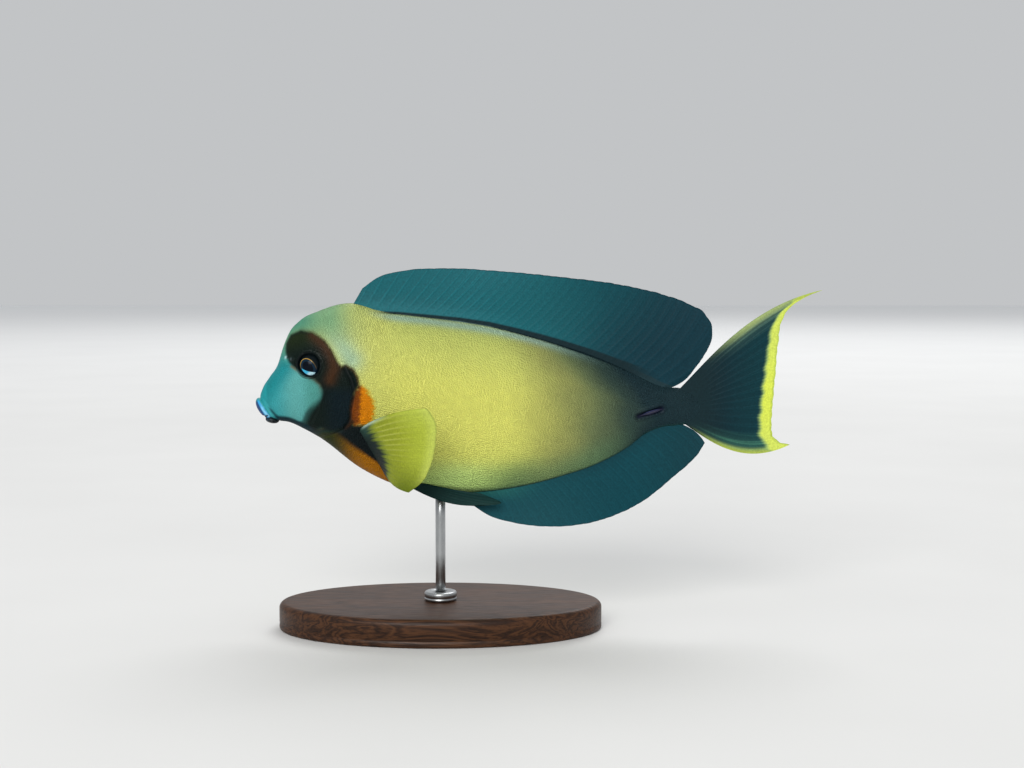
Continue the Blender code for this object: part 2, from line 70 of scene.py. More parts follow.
BACK = curve(
    (2.2, 6.4), (3.2, 9), (6, 13.4), (9.6, 19.2), (11.4, 25), (14, 31.2), (18, 35.7), (26, 39.8),
    (38, 42.8), (50, 39.9), (74, 36.7), (98, 32.9), (122, 26.5), (138, 21), (150, 15.7),
    (158, 11.6), (164, 9.3), (170, 8.9), (174.5, 7.6), (177.4, 5), (179, 1.9),
)
BELLY = curve(
    (2.2, 2.4), (3.6, -0.8), (5.6, -3), (8, -4), (14, -5.1), (20, -7.9), (26, -11.3), (42, -23.4),
    (58, -30.8), (74, -32.9), (90, -33.3), (106, -31.2), (122, -27.2), (138, -21.6), (150, -14.8),
    (156, -10), (163, -7.1), (170, -6.3), (174.5, -5), (177.4, -2.4), (179, 0.3),
)
HALF_WIDTH = curve(
    (2.2, 1.9), (3.4, 3.2), (6, 4.5), (10, 5.9), (16, 7.7), (24, 9.7), (36, 12), (50, 13.2),
    (66, 13.4), (90, 12.3), (114, 9.9), (134, 7.2), (150, 4.9), (162, 3.6), (170, 2.4), (175, 1.5),
    (179, 0.6),
)
RIDGE = curve((2.2, 1), (20, 1), (40, 1.12), (66, 1.25), (140, 1.25), (179, 1))

# Lines that the skin's folds follow, as (s, z) seen from the side
GILL_OPENING = (
    (37, 18.6), (37.4, 17.2), (39.4, 13.4), (40.9, 8.6), (40.4, 3), (39, -3), (36.4, -7), (31.6, -9.4),
    (25.6, -11), (21.5, -12.4),
)
CHEEK_EDGE = ((35.4, 19), (32.6, 15.4), (30, 11.2), (28, 6.1), (26, 0.7), (23.4, -4.2), (18.6, -7.4))
EYE_AT = (22.7, 18.5)
NOSTRILS = ((13.9, 21.2, 0.62), (15.9, 20.5, 0.42))
SPINE_LINE = ((153.2, -2.25), (162.4, 0.65))
MOUTH_CREASE = ((3.8, 4.9), (5.4, 2.4), (7.4, -0.5), (9.3, -2.9))
LATERAL_LINE = (
    (38, 20), (42, 26.5), (50, 30.4), (64, 31), (84, 28.4), (104, 23.4), (124, 16.6), (142, 8.8),
    (152, 3.8), (168, 1.4),
)


def apart(s, z, line):
    """How far each place is from a line of points."""
    nearest = np.full(np.shape(s), 1e9)
    for (s0, z0), (s1, z1) in zip(line[:-1], line[1:]):
        ds, dz = s1 - s0, z1 - z0
        t = np.clip(((s - s0) * ds + (z - z0) * dz) / (ds * ds + dz * dz), 0, 1)
        nearest = np.minimum(nearest, np.hypot(s - s0 - t * ds, z - z0 - t * dz))
    return nearest


def within(s, z, outline):
    """How far each place is inside a closed outline, and less than nothing outside it."""
    ring = [*outline, outline[0]]
    crossings = np.zeros(np.shape(s), int)
    for (s0, z0), (s1, z1) in zip(ring[:-1], ring[1:]):
        spans = (z0 > z) != (z1 > z)
        crossings += spans & (s < s0 + (z - z0) * (s1 - s0) / (z1 - z0 if z1 != z0 else 1e-9))
    return np.where(crossings % 2 == 1, 1, -1) * apart(s, z, ring)


def ease(x, low, high):
    """0 below low and 1 above high, with a soft change between."""
    t = np.clip((x - low) / (high - low), 0, 1)
    return t * t * (3 - 2 * t)


def bell(x, width):
    return np.exp(-((x / width) ** 2))


def flesh(s, turn, lift):
    """The body's smooth surface, (s, y, z). turn goes round it from the back by the right side."""
    back, belly = BACK(s) + lift, BELLY(s) - lift
    z = (back + belly) / 2 + (back - belly) / 2 * np.cos(turn)
    bulge = np.sign(np.sin(turn)) * np.abs(np.sin(turn)) ** RIDGE(s)
    return joined(s + 0 * turn, (HALF_WIDTH(s) + lift) * bulge, z)


def unit(rows):
    return rows / np.maximum(np.linalg.norm(rows, axis=-1, keepdims=True), 1e-12)


def joined(*parts):
    """Numbers for each place, put together as points or faces."""
    return np.stack(parts, -1)


def full_turn(count):
    return np.linspace(0, math.tau, count, endpoint=False)


def flank(s, z):
    """Half the body's width at a place seen from the side."""
    middle, half = (BACK(s) + BELLY(s)) / 2, (BACK(s) - BELLY(s)) / 2
    share = np.clip(np.abs(z - middle) / half, 0, 1)
    return HALF_WIDTH(s) * (1 - share * share) ** (RIDGE(s) / 2)


def eye_distance(points):
    """How far each place is from the spot on its own flank that the eye looks out of."""
    s, y, z = np.moveaxis(points, -1, 0)
    return np.sqrt((s - EYE_AT[0]) ** 2 + (np.abs(y) - flank(*EYE_AT)) ** 2 + (z - EYE_AT[1]) ** 2)


def folds(points):
    """How far the skin stands out of the smooth surface, at the gill cover, orbit, nostrils and grooves."""
    s, y, z = np.moveaxis(points, -1, 0)
    sideways = ease(np.abs(y) / np.maximum(HALF_WIDTH(s), 0.1), 0.25, 0.6)
    opening = apart(s, z, GILL_OPENING)
    cover = within(s, z, (*CHEEK_EDGE, (20, -13), *GILL_OPENING[::-1]))
    height = sideways * 0.42 * ease(cover, -0.2, 1.4)
    behind = ease(-cover, 0, 0.3) * (s > 30)
    height -= sideways * (0.55 * bell(opening, 0.55) + 0.25 * bell(opening, 1.6) * behind)
    height -= sideways * 0.16 * bell(apart(s, z, CHEEK_EDGE), 0.7) * ease(13 - z, 0, 4)
    # bony orbit, the fold of lid inside it, the socket, and the shallow groove in front of it
    reach = eye_distance(points)
    height += 0.42 * bell(reach - 5.0, 0.7) + 0.3 * bell(reach - 6.2, 1.7) * ease(z - EYE_AT[1], -3, 3)
    height -= 0.12 * bell(reach - 5.75, 0.3)
    height -= 3.0 * ease(4.62 - reach, 0, 0.55)
    groove = ((13.4, 16.8), (9.5, 12.2), (7.4, 8.4))
    height -= sideways * 0.22 * bell(apart(s, z, groove), 0.9)
    for at_s, at_z, radius in NOSTRILS:
        far = np.hypot(s - at_s, z - at_z)
        rim = 0.16 * bell(far - 1.7 * radius, 0.35 * radius + 0.1)
        height += sideways * (rim - bell(far, 0.62 * radius))
    # crease behind the lips, groove that the folding spine lies in, and the lateral line
    height -= 0.35 * bell(apart(s, z, MOUTH_CREASE), 0.55)
    slot = apart(s, z, SPINE_LINE)
    height += sideways * (0.3 * bell(slot - 1.6, 0.7) - 0.95 * bell(slot, 0.85))
    return height + sideways * 0.09 * bell(apart(s, z, LATERAL_LINE), 0.55)


def skin(s, turn):
    """Points of the finished skin, folds and all."""

    def near(ds, dturn):
        return flesh(s + ds, turn + dturn, -COAT_DEPTH)

    here = near(0, 0)
    facing = unit(np.cross(near(0.05, 0) - near(-0.05, 0), near(0, 0.004) - near(0, -0.004)))
    return here + facing * folds(here)[..., None]


def placed(points):
    """Millimetres on the fish to metres in the row's frame."""
    points = np.asarray(points, float)
    return (points + np.array([-LENGTH / 2, 0.0, AXIS_HEIGHT])) * 0.001


def linear(colour):
    """An sRGB hex colour as linear red, green and blue."""
    srgb = np.array([int(colour[k : k + 2], 16) for k in (1, 3, 5)]) / 255
    return np.where(srgb <= 0.04045, srgb / 12.92, ((srgb + 0.055) / 1.055) ** 2.4)


def layered(colour, *layers):
    """Colours laid over one another in turn, each by its own share for each place."""
    for over, share in layers:
        colour = colour + (linear(over) - colour) * np.clip(share, 0, 1)[..., None]
    return colour


def plain(colour, places):
    """One colour at every place."""
    return np.zeros(np.shape(places) + (3,)) + linear(colour)


# Markings, as outlines seen from the side. Both flanks wear the same ones.
DARK_FACE = (
    (12.8, 23.1), (12.5, 26.9), (14.5, 30.7), (19.1, 32.4), (23.9, 31.3), (28.6, 28), (31.8, 24),
    (34.1, 19.5), (35.7, 17.6), (37.5, 18.4), (40.2, 16.9), (42.1, 13.8), (42.8, 10.5), (41.2, 8.1),
    (39.9, 4.2), (39.3, 1), (39.4, -2.2), (38.9, -4.7), (36.5, -6.8), (32.3, -7.7), (27.3, -7.9),
    (23, -10.9), (17.8, -12.1), (13, -8.9), (16.2, -6.5), (19.6, -4.1), (21.4, -0.5), (24.2, 3.1),
    (26.3, 6.2), (27.4, 8.9), (27, 10.9), (24.9, 12.6), (21.6, 14), (18.9, 15.4), (16.3, 17.3),
    (14.4, 19.2),
)
ORANGE_MARK = (
    (42.8, 10.7), (44.4, 10.3), (45.7, 8.5), (47.1, 6.2), (48.1, 3.4), (48.2, 0.7), (47.8, -2.1),
    (47, -3.9), (43.7, -5.4), (40.5, -5.8), (38.8, -3.9), (38.3, 0.2), (39.1, 3.8), (40.8, 6.9),
    (41.8, 9.3),
)
FIN_ROOT_MARK = (
    (31.1, -6.7), (35.7, -5.1), (39, -3.7), (40.5, -5), (43.7, -5.2), (48.1, -6.3), (49.6, -10.2),
    (50.6, -15.1), (52.8, -20.9), (55.1, -24.7), (57.2, -29.1), (55, -29.5), (53.4, -24.8), (50.4, -20.9),
    (46.9, -18.3), (43.4, -15.9), (39.8, -13.5), (36.7, -10.9), (33.9, -8.7),
)
BREAST = (
    (23, -8.2), (30.7, -6.5), (37.3, -5.9), (40.4, -9.5), (45.1, -13.1), (48.6, -16.3), (52, -20.9),
    (54.2, -25.2), (55.8, -29.9), (58.6, -33.9), (49.7, -36.3), (33.7, -26.2), (21, -12.9),
)
DORSAL_SEAM = (
    (47.6, 39.32), (58, 38.68), (70, 37.44), (82, 36.16), (94, 34.28), (104, 31.88), (114, 29.28),
    (120.8, 27.28), (134, 22.96), (148, 17.8), (158, 13.8), (163.2, 11.2), (170, 9.2), (180, 7.6),
)
seam_height = curve(*DORSAL_SEAM)


def seam_line(s, z):
    """The dark line along the root of the dorsal fin, as a share: partly the fish's own dark line, partly
    painted shade in the groove at the fin's root. It widens towards the tail.
    """
    width = 0.42 + 0.0125 * (s - 50)
    return ease(width - apart(s, z, DORSAL_SEAM), -0.3, 0.3) * ease(s, 46, 56) * ease(163 - s, 0, 16)


def markings(points):
    """The fish's own colours at each place, as linear red, green and blue."""
    s, z = points[..., 0], points[..., 2]
    blotch = 1.3 * np.sin(0.31 * s + 0.23 * z) + 0.9 * np.sin(0.17 * s - 0.41 * z + 1.7)
    drop = BACK(s) - z
    rise = z - BELLY(s)
    snout = ease(34 - s + 0.25 * (z - 10), 0, 5) * ease(24 - z - 0.3 * (s - 14), -4, 8)
    front = ease(z - 1.3 * s + 10, 0, 11)
    rear = s + 1.2 * np.clip(14 - drop, 0, 14) * ease(s, 84, 122)
    rear = rear + 0.15 * np.clip(18 - rise, 0, 18) + 0.5 * blotch
    fin_edge = ease(s, 42, 58) * ease(172 - s, 0, 10)
    breast = within(s, z, BREAST)
    ragged = 0.35 * np.sin(2.3 * z + 1.1 * s) + 0.25 * np.sin(4.1 * z - 2.7 * s + 1)
    mark = within(s, z, ORANGE_MARK) + 0.12 * blotch + ragged
    root_mark = within(s, z, FIN_ROOT_MARK) / (1 + 1.2 * ease(48 - s, 0, 8))
    throat = apart(s, z, ((34, -6.4), (36.9, -5.1), (39.4, -3.8)))
    face = within(s, z, DARK_FACE) + 0.1 * blotch
    soft = 1.5 + 1.8 * ease(31 - s, 0, 5) * ease(11 - z, 0, 5)
    behind_eye = apart(s, z, ((24.7, 30.3), (29.2, 26.4), (32.1, 22.2), (32.9, 17.5), (31.3, 12.8)))
    crease = apart(s, z, MOUTH_CREASE)
    reach = eye_distance(points)
    rim_spot = apart(s, z, ((15.5, 17.8), (17.9, 16.3), (20.8, 14.8)))
    colour = layered(
        plain("#dfe070", s),
        # darker and greener towards the back and towards the belly, darkest at the belly's edge: partly the
        # fish's own colour, partly painted shade
        ("#b6c16a", ease(38 - drop, 8, 36) * 0.8),
        ("#abb868", ease(9 - drop, 0, 9) * 0.75),
        ("#cdd66c", ease(26 - rise, 0, 18) * 0.7),
        ("#a8cb76", ease(14 - rise, 0, 11) * 0.85),
        ("#93a75c", ease(17 - rise, 0, 13) * ease(s, 80, 106) * 0.85),
        # painted light: a paler patch low on the flank, against the shadow of the pectoral fin
        ("#c6e68c", ease(17 - rise, 0, 9) * bell(s - 80, 14) * 0.65),
        ("#4f704c", ease(3.4 - rise, 0, 3.4) * 0.8),
        ("#c6ca6e", ease(64 - s, 0, 22) * 0.8),
        # pale shoulder behind the dark face, then the nape and forehead
        ("#a6c5a2", bell(apart(s, z, ((32.7, 30.7), (36.4, 25.7), (39.6, 20.7))), 5.0) * 0.95),
        ("#9aaf70", ease(52 - s, 0, 16) * ease(z, 22, 34) * 0.7),
        ("#74a27a", ease(41 - s, 0, 11) * ease(z, 25, 36) * 0.9),
        # the forehead darker towards its top: partly its own colour, partly painted shade
        ("#348674", ease(29 - s, 0, 12) * ease(z, 24, 36) * 0.8),
        # snout and cheek
        ("#5fadaa", snout),
        ("#2a9ba4", snout * ease(17 - s, 0, 9) * 0.75),
        ("#20888e", snout * front),
        ("#338a7b", ease(18 - s, 0, 6) * ease(z, 16, 25) * 0.8),
        ("#4a9186", snout * ease(s, 18, 25) * 0.75),
        # rear of the body and the tail stem, dark from the back downwards first
        ("#9c9f5a", ease(rear, 98, 124) * 0.9),
        ("#64734f", ease(rear, 116, 140) * 0.95),
        ("#30443e", ease(rear, 132, 152) * 0.95),
        ("#1a3036", ease(rear, 146, 164)),
        ("#5c805a", ease(14 - rise, 0, 12) * ease(s, 84, 108) * ease(156 - s, 0, 24) * 0.65),
        # pale line below the root of the dorsal fin: a painted highlight on the edge below the fin's root
        ("#8db4b2", bell(drop - 1.7, 1.6) * fin_edge * ease(144 - s, 0, 40) * 0.65),
        # dark seam line: partly its own colour, partly painted shade
        ("#0e2328", seam_line(s, z)),
        ("#1b3b3a", ease(1.1 - rise, -0.3, 0.7) * ease(s, 84, 92) * 0.9),
        # breast, root of the pectoral fin, orange mark and dark face
        ("#ad6e0c", ease(breast + 0.15 * blotch, -1.2, 0.8)),
        ("#5e4812", ease(breast, -0.6, 0.8) * ease(45 - s, 0, 12)),
        ("#2d3415", ease(breast, -0.6, 0.8) * ease(38 - s, 0, 8)),
        ("#cba318", ease(mark, -1.8, 0.2) * ease(s, 42, 45) * 0.85),
        ("#d98206", ease(mark, -0.6, 0.8)),
        ("#73380f", ease(mark, -0.8, 0.5) * ease(43.9 - s + 0.06 * z + 0.8 * ragged, 0, 1.8)
         * ease(z + 5.5, 0, 2) * 0.95),
        ("#0d1719", ease(root_mark, -0.9, 0.5)),
        ("#241c12", bell(throat, 1.2) * 0.95),
        ("#4a3a1c", ease(face, -1.5, 0.3) * ease(s, 14, 30) * ease(z, 6, 12)),
        ("#1d3632", ease(face, -1.5, 0.3) * ease(6 - z, 0, 6) * ease(37 - s, 0, 2) * 0.8),
        ("#4a2a12", ease(face, -1.2, 0.3) * ease(s, 36, 38) * ease(8 - z, 0, 2) * 0.9),
        ("#0c1a16", ease((face + 0.5) / soft, 0, 1)),
        ("#1e2a12", ease(face, 0, 2.0) * ease(z + 0.3 * (22 - s), 23, 31) * 0.8),
        ("#452b18", ease(face, -0.1, 0.9) * bell(behind_eye, 2.4) * 0.85),
        ("#0a1b21", ease(face, 0, 1.5) * ease(s, 26, 34) * ease(12 - z, 0, 6)),
        # painted shade in the groove of the gill opening
        ("#070d0f", bell(apart(s, z, GILL_OPENING), 0.8) * ease(face, -1, 0) * 0.7),
        # dark lower jaw and the crease of the mouth
        ("#0c2b33", ease(2.4 - rise + 0.06 * (s - 9), -0.5, 0.9) * ease(s, 7, 9.5) * ease(26 - s, 0, 5)),
        ("#0c3038", bell(crease, 0.6) * ease(2.6 - z, 0, 3) * 0.9),
    )
    # each nostril gets a painted highlight, a pale spot in front of it that is strong only at the front
    # nostril, and painted shade darkens its pit
    for at_s, at_z, radius in NOSTRILS:
        far = np.hypot(s - at_s, z - at_z)
        ahead = bell(np.hypot(s - at_s + 1.1 * radius, z - at_z - 0.2), 0.5)
        bright = 0.9 if radius > 0.5 else 0.1
        colour = layered(colour, ("#b4d4dc", ahead * bright), ("#06100f", bell(far, 0.75 * radius)))
    # skin round the eye, and the violet groove of the spine
    return layered(
        colour,
        ("#080f12", ease(6.0 - reach, 0, 1.6)),
        ("#7d5a26", bell(rim_spot, 0.5) * ease(reach, 5.0, 6.0) * 0.6),
        ("#0e1126", bell(apart(s, z, SPINE_LINE), 1.3)),
    )


def added(name, data):
    """A new object in the scene."""
    made = bpy.data.objects.new(name, data)
    bpy.context.scene.collection.objects.link(made)
    return made


def mesh_piece(name, points, faces, finish, colours, uv, seam=False, flat=None, **numbers):
    """A piece from points in millimetres and arrays of faces, with a colour, a place on the bake map and
    further numbers for each point. With a seam, its map closes on itself upwards. flat marks flat faces."""
    mesh = bpy.data.meshes.new(name)
    points = placed(points).reshape(-1, 3)
    corners = np.concatenate([group.ravel() for group in faces])
    sizes = np.concatenate([np.full(len(group), group.shape[1]) for group in faces])
    starts = np.concatenate(([0], np.cumsum(sizes)[:-1]))
    mesh.vertices.add(len(points))
    mesh.vertices.foreach_set("co", points.ravel())
    mesh.loops.add(len(corners))
    mesh.loops.foreach_set("vertex_index", corners.astype(np.int32))
    mesh.polygons.add(len(sizes))
    mesh.polygons.foreach_set("loop_start", starts.astype(np.int32))
    mesh.update(calc_edges=True)
    mesh.shade_smooth()
    if flat is not None:
        mesh.polygons.foreach_set("use_smooth", ~flat)
    layer = mesh.color_attributes.new("marking", "FLOAT_COLOR", "POINT")
    layer.data.foreach_set("color", np.c_[colours.reshape(-1, 3), np.ones(len(points))].ravel())
    for key, values in numbers.items():
        layer = mesh.attributes.new(key, "FLOAT", "POINT")
        layer.data.foreach_set("value", np.asarray(values, np.float32).ravel())
    spots = np.asarray(uv, float).reshape(-1, 2)[corners]
    if seam:
        short = np.repeat(np.maximum.reduceat(spots[:, 1], starts), sizes) - spots[:, 1]
        spots[:, 1] += (short > 0.5) * (short + 0.004)
    layer = mesh.uv_layers.new(name="OFBake")
    layer.uv.foreach_set("vector", spots.astype(np.float32).ravel())
    mesh.materials.append(finish)
    made = added(name, mesh)
    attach(made, "root")
    return made


def new_material(name):
    made = bpy.data.materials.new(name)
    made.use_nodes = True
    made.node_tree.nodes.clear()
    return made


METRE = 1000.0  # in millimetres, the unit that the patterns' sizes are in
MIDDLE = {"From Min": 0.3, "From Max": 0.7}  # most of a noise's values lie between these


def node(finish, kind, inputs=None, stops=(), **settings):
    """Adds a node with its settings. inputs are its sockets' values, or the nodes or sockets that feed
    them, and stops are a ramp's colours."""
    made = finish.node_tree.nodes.new("ShaderNode" + kind)
    for key, value in settings.items():
        setattr(made, key, value)
    for k, colour in enumerate(stops):
        made.color_ramp.elements[k].color = (*linear(colour), 1)
    for socket, value in (inputs or {}).items():
        if isinstance(value, bpy.types.Node):
            value = value.outputs[0]
        if isinstance(value, bpy.types.NodeSocket):
            finish.node_tree.links.new(value, made.inputs[socket])
        else:
            made.inputs[socket].default_value = value
    return made


def in_marked_colours(finish, value, surface):
    """Ends a material in the colours that its piece's points carry, made darker or lighter by a value."""
    pigment = node(finish, "Attribute", attribute_name="marking")
    tinted = node(finish, "HueSaturation", {"Color": pigment, "Value": value})
    shell = node(finish, "BsdfPrincipled", {"Base Color": tinted, **surface})
    node(finish, "OutputMaterial", {"Surface": shell})


def grid_faces(rows, columns, closed):
    """Four-cornered faces of a grid of points, closed round its columns or open."""
    i, j = np.meshgrid(np.arange(rows - 1), np.arange(columns if closed else columns - 1), indexing="ij")
    after = (j + 1) % columns
    low, high = i * columns, (i + 1) * columns
    return joined(low + j, low + after, high + after, high + j).reshape(-1, 4)


# Wet fish skin: a thin clear slime over dull pigment, so the gloss is soft and broken by the scales.
fish_skin = new_material("wet_fish_skin")
PIGMENT_PATCH, PORE = 3.03, 0.5
skin_place = node(fish_skin, "TexCoord").outputs["Object"]
patches = node(fish_skin, "TexNoise", {"Vector": skin_place, "Scale": METRE / PIGMENT_PATCH, "Detail": 4})
pores = node(fish_skin, "TexVoronoi", {"Vector": skin_place, "Scale": METRE / PORE})
shade = node(fish_skin, "MapRange", {"Value": patches, **MIDDLE, "To Min": 0.91, "To Max": 1.0})
gloss = node(fish_skin, "MapRange", {"Value": patches, **MIDDLE, "To Min": 0.34, "To Max": 0.46})
dents = node(fish_skin, "Bump", {"Height": pores, "Strength": 0.25, "Distance": 0.0001})
in_marked_colours(fish_skin, shade, {"Roughness": gloss, "Specular IOR Level": 0.1, "Normal": dents})

stations = SKIN_START + (SKIN_END - SKIN_START) * np.linspace(0, 1, SKIN_ROWS) ** CROWDING
row_s, row_turn = np.meshgrid(stations, full_turn(SKIN_COLUMNS), indexing="ij")
skin_faces = grid_faces(SKIN_ROWS, SKIN_COLUMNS, True)
tips = np.array([[2.3, 0, 4.4], [179.0, 0, 1.1]])
all_points = np.concatenate((skin(row_s, row_turn).reshape(-1, 3), tips))
last = (SKIN_ROWS - 1) * SKIN_COLUMNS
ring = np.arange(SKIN_COLUMNS)
after = (ring + 1) % SKIN_COLUMNS
tip = np.full_like(ring, SKIN_ROWS * SKIN_COLUMNS)
front_cap = joined(ring, tip, after)
rear_cap = joined(last + after, tip + 1, last + ring)


def unwrapped(s, turn):
    """A place on the skin's own map, (x, y)."""
    return joined(0.005 + 0.99 * (s - SKIN_START) / MAP_LENGTH, 0.005 + 0.985 * turn / math.tau)


skin_map = unwrapped(row_s, row_turn).reshape(-1, 2)
body_skin = mesh_piece(
    "body_skin", all_points, [skin_faces, front_cap, rear_cap], fish_skin, markings(all_points),
    np.concatenate((skin_map, [[0.004, 0.5], [0.996, 0.5]])), seam=True,
)
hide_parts("head", "gill_cover_left", "gill_cover_right", "torso", "tail_stem")

# THE SCALES. Small rough plates of bone under thin skin, which overlap towards the tail like roof tiles
# and give the flank its fine upright stipple. They are smallest on the head and on the tail stem.

scale_length = curve((5, 0.42), (20, 0.5), (38, 0.66), (60, 0.76), (140, 0.72), (177, 0.5))
SCALE_SHAPE = np.array([  # towards the tail, sideways and outwards, as shares of a scale's length
    (-0.78, 0, -0.08), (-0.12, -0.57, -0.004), (0.42, -0.42, 0.044), (0.64, 0, 0.066), (0.42, 0.42, 0.044),
    (-0.12, 0.57, -0.004), (0.08, 0, 0.036),
])
SIDES = (("left", -1), ("right", 1))
COAT_START, COAT_END = 5.2, 177.5
ROW_STEP = 0.84  # how far apart rows are, as a share of a scale's length
ROW_LEAN = 9 / 36
UNEVEN = 0.13
PATCH_SIZE = 0.0024  # what a scale's length covers on the map
SCALE_TONE = np.array([0.1, 0.5, 0.85, 1.0, 0.85, 0.5, 0.65])
SCALE_TOP = [(k, (k + 1) % 6, 6) for k in range(6)]
SCALE_UNDERSIDE = [(0, k + 1, k) for k in range(1, 5)]
SCALE_FACES = np.array(SCALE_TOP + SCALE_UNDERSIDE)
SCALE_FLAT = np.repeat([False, True], [len(SCALE_TOP), len(SCALE_UNDERSIDE)])

# Scale of bone under clear skin: each has a dull root and a paler free edge, over the skin's own patches.
scale_finish = new_material("fish_scale")
scale_place = node(scale_finish, "TexCoord").outputs["Object"]
tone = node(scale_finish, "Attribute", attribute_name="tone").outputs["Fac"]
grain = node(scale_finish, "TexNoise", {"Vector": scale_place, "Scale": METRE / PIGMENT_PATCH, "Detail": 4})
edge_light = node(scale_finish, "MapRange", {"Value": tone, "To Min": 0.92, "To Max": 1.04})
patch_light = node(scale_finish, "MapRange", {"Value": grain, **MIDDLE, "To Min": 0.96, "To Max": 1.04})
light = node(scale_finish, "Math", {0: edge_light, 1: patch_light}, operation="MULTIPLY")
gloss = node(scale_finish, "MapRange", {"Value": grain, **MIDDLE, "To Min": 0.36, "To Max": 0.5})
in_marked_colours(scale_finish, light, {"Roughness": gloss, "Specular IOR Level": 0.1})

chance = np.random.default_rng(7)
coat_s, coat_turn = [], []
turns = np.linspace(0, math.tau, 361)
s, row = COAT_START, 0
while s < COAT_END:
    pitch = float(scale_length(s))
    ring = flesh(np.full(turns.shape, s), turns, 0)
    arc = np.concatenate(([0], np.cumsum(np.linalg.norm(np.diff(ring, axis=0), axis=1))))
    count = max(int(arc[-1] / pitch), 8)
    steps = (np.arange(count) + 0.5 * (row % 2) + UNEVEN * chance.standard_normal(count)) / count * arc[-1]
    coat_turn.append(np.interp(steps % arc[-1], arc, turns))
    # rows lean back towards the top of the flank
    heights = flesh(np.full(count, s), coat_turn[-1], 0)[:, 2]
    lean = ROW_LEAN * ease(s, 8, 62) * ease(175 - s, 0, 60) * heights
    coat_s.append(s + lean + UNEVEN * pitch * chance.standard_normal(count))
    s, row = s + ROW_STEP * pitch, row + 1
coat_s, coat_turn = np.concatenate(coat_s), np.concatenate(coat_turn)

root_points = skin(coat_s, coat_turn)
towards_tail = unit(skin(coat_s + 0.25, coat_turn) - skin(coat_s - 0.25, coat_turn))
round_body = skin(coat_s, coat_turn + 0.02) - skin(coat_s, coat_turn - 0.02)
outwards = unit(np.cross(towards_tail, round_body))
sideways = np.cross(outwards, towards_tail)
rs, ry, rz = root_points.T
# no scales in the eye's ring, the gill opening, the spine's groove, the nostrils and the mouth
bare = eye_distance(root_points) < 5.1
bare |= (apart(rs, rz, GILL_OPENING) < 0.7) | (apart(rs, rz, SPINE_LINE) < 1.1)
for at_s, at_z, radius in NOSTRILS:
    bare |= np.hypot(rs - at_s, rz - at_z) < 2 * radius
crease_s = curve(*[(at_z, at_s) for at_s, at_z in MOUTH_CREASE[::-1]])
bare |= (rs < crease_s(rz) + 0.8) & (rz < 5.5)
size = scale_length(coat_s) * (1.04 + 0.08 * chance.standard_normal(len(coat_s)))
colours = markings(root_points) * (1 + 0.02 * chance.standard_normal((len(coat_s), 1)))
for part, low, high in (("head", 0, 36), ("shoulder", 36, 74), ("flank", 74, 112), ("rear", 112, 180)):
    for side_name, side in SIDES:
        chosen = np.flatnonzero(~bare & (coat_s >= low) & (coat_s < high) & (np.sign(ry) == side))
        local = SCALE_SHAPE[None] * size[chosen, None, None]
        points = root_points[chosen, None]
        for k, axis in enumerate((towards_tail, sideways, outwards)):
            points = points + local[..., k : k + 1] * axis[chosen, None]
        first = len(SCALE_SHAPE) * np.arange(len(chosen))[:, None, None]
        faces = [(first + SCALE_FACES[None]).reshape(-1, 3)]
        spot = unwrapped(coat_s[chosen], coat_turn[chosen])
        patch_map = spot[:, None] + SCALE_SHAPE[None, :, :2] * PATCH_SIZE
        coat = mesh_piece(
            f"scales_{part}_{side_name}", points, faces, scale_finish,
            np.repeat(colours[chosen], len(SCALE_SHAPE), axis=0), patch_map,
            flat=np.tile(SCALE_FLAT, len(chosen)), tone=np.tile(SCALE_TONE, len(chosen)),
        )

# THE EYES. Each is a clear flattened ball, wider than deep, turned a little forwards in its bony ring:
# a large black pupil, a thin golden rim, a dark iris, and a bright blue crescent low in the iris.


def faces_out(s, z, side):
    """The way that the flank faces at a place, towards the left (-1) or right (1)."""
    lean_s = flank(s + 0.5, z) - flank(s - 0.5, z)
    lean_z = flank(s, z + 0.5) - flank(s, z - 0.5)
    return unit(np.array([-lean_s, side, -lean_z], float))


def closed_faces(rows, columns):
    """Faces of a grid closed round its columns, with a many-cornered face at each end."""
    ends = np.arange(columns)[None]
    return [grid_faces(rows, columns, True), ends[:, ::-1], ends + (rows - 1) * columns]


def iris_place(across, up):
    """How far out in the open oval of the eye, 1 at its rim. The oval leans down towards the tail."""
    low = up + 0.9
    return np.hypot((0.643 * across - 0.766 * low) / 3.85, (0.766 * across + 0.643 * low) / 2.95)


def pale_crescent(across, up):
    """Where the iris shines, low in the eye, as a share."""
    above = up + 2.35 + 0.28 * across - 0.05 * across**2
    return ease(-above, -0.05, 0.2) * ease(0.91 - iris_place(across, up), 0, 0.06)


def grained_finish(name, size, detail, tones, surface, stretch=(1, 1, 1), dents=None):
    """A material in its piece's own colours, with a grain of a size in millimetres. tones are how dark and
    how light it gets, and dents how strong and how deep its relief is."""
    finish = new_material(name)
    place = node(finish, "TexCoord").outputs["Object"]
    stretched = node(finish, "Mapping", {"Vector": place, "Scale": stretch})
    grain = node(finish, "TexNoise", {"Vector": stretched, "Scale": METRE / size, "Detail": detail})
    shade = node(finish, "MapRange", {"Value": grain, **MIDDLE, "To Min": tones[0], "To Max": tones[1]})
    if dents:
        relief = node(finish, "Bump", {"Height": grain, "Strength": dents[0], "Distance": dents[1]})
        surface = {**surface, "Normal": relief}
    in_marked_colours(finish, shade, surface)
    return finish


# Clear eye: a smooth wet cornea over an iris of fine threads.
eye_finish = grained_finish(
    "clear_eye", 0.625, 3, (0.8, 1.2),
    {"Roughness": 0.35, "Specular IOR Level": 0.04,
     "Coat Weight": 0.4, "Coat Roughness": 0.02, "Coat IOR": 1.2},
)

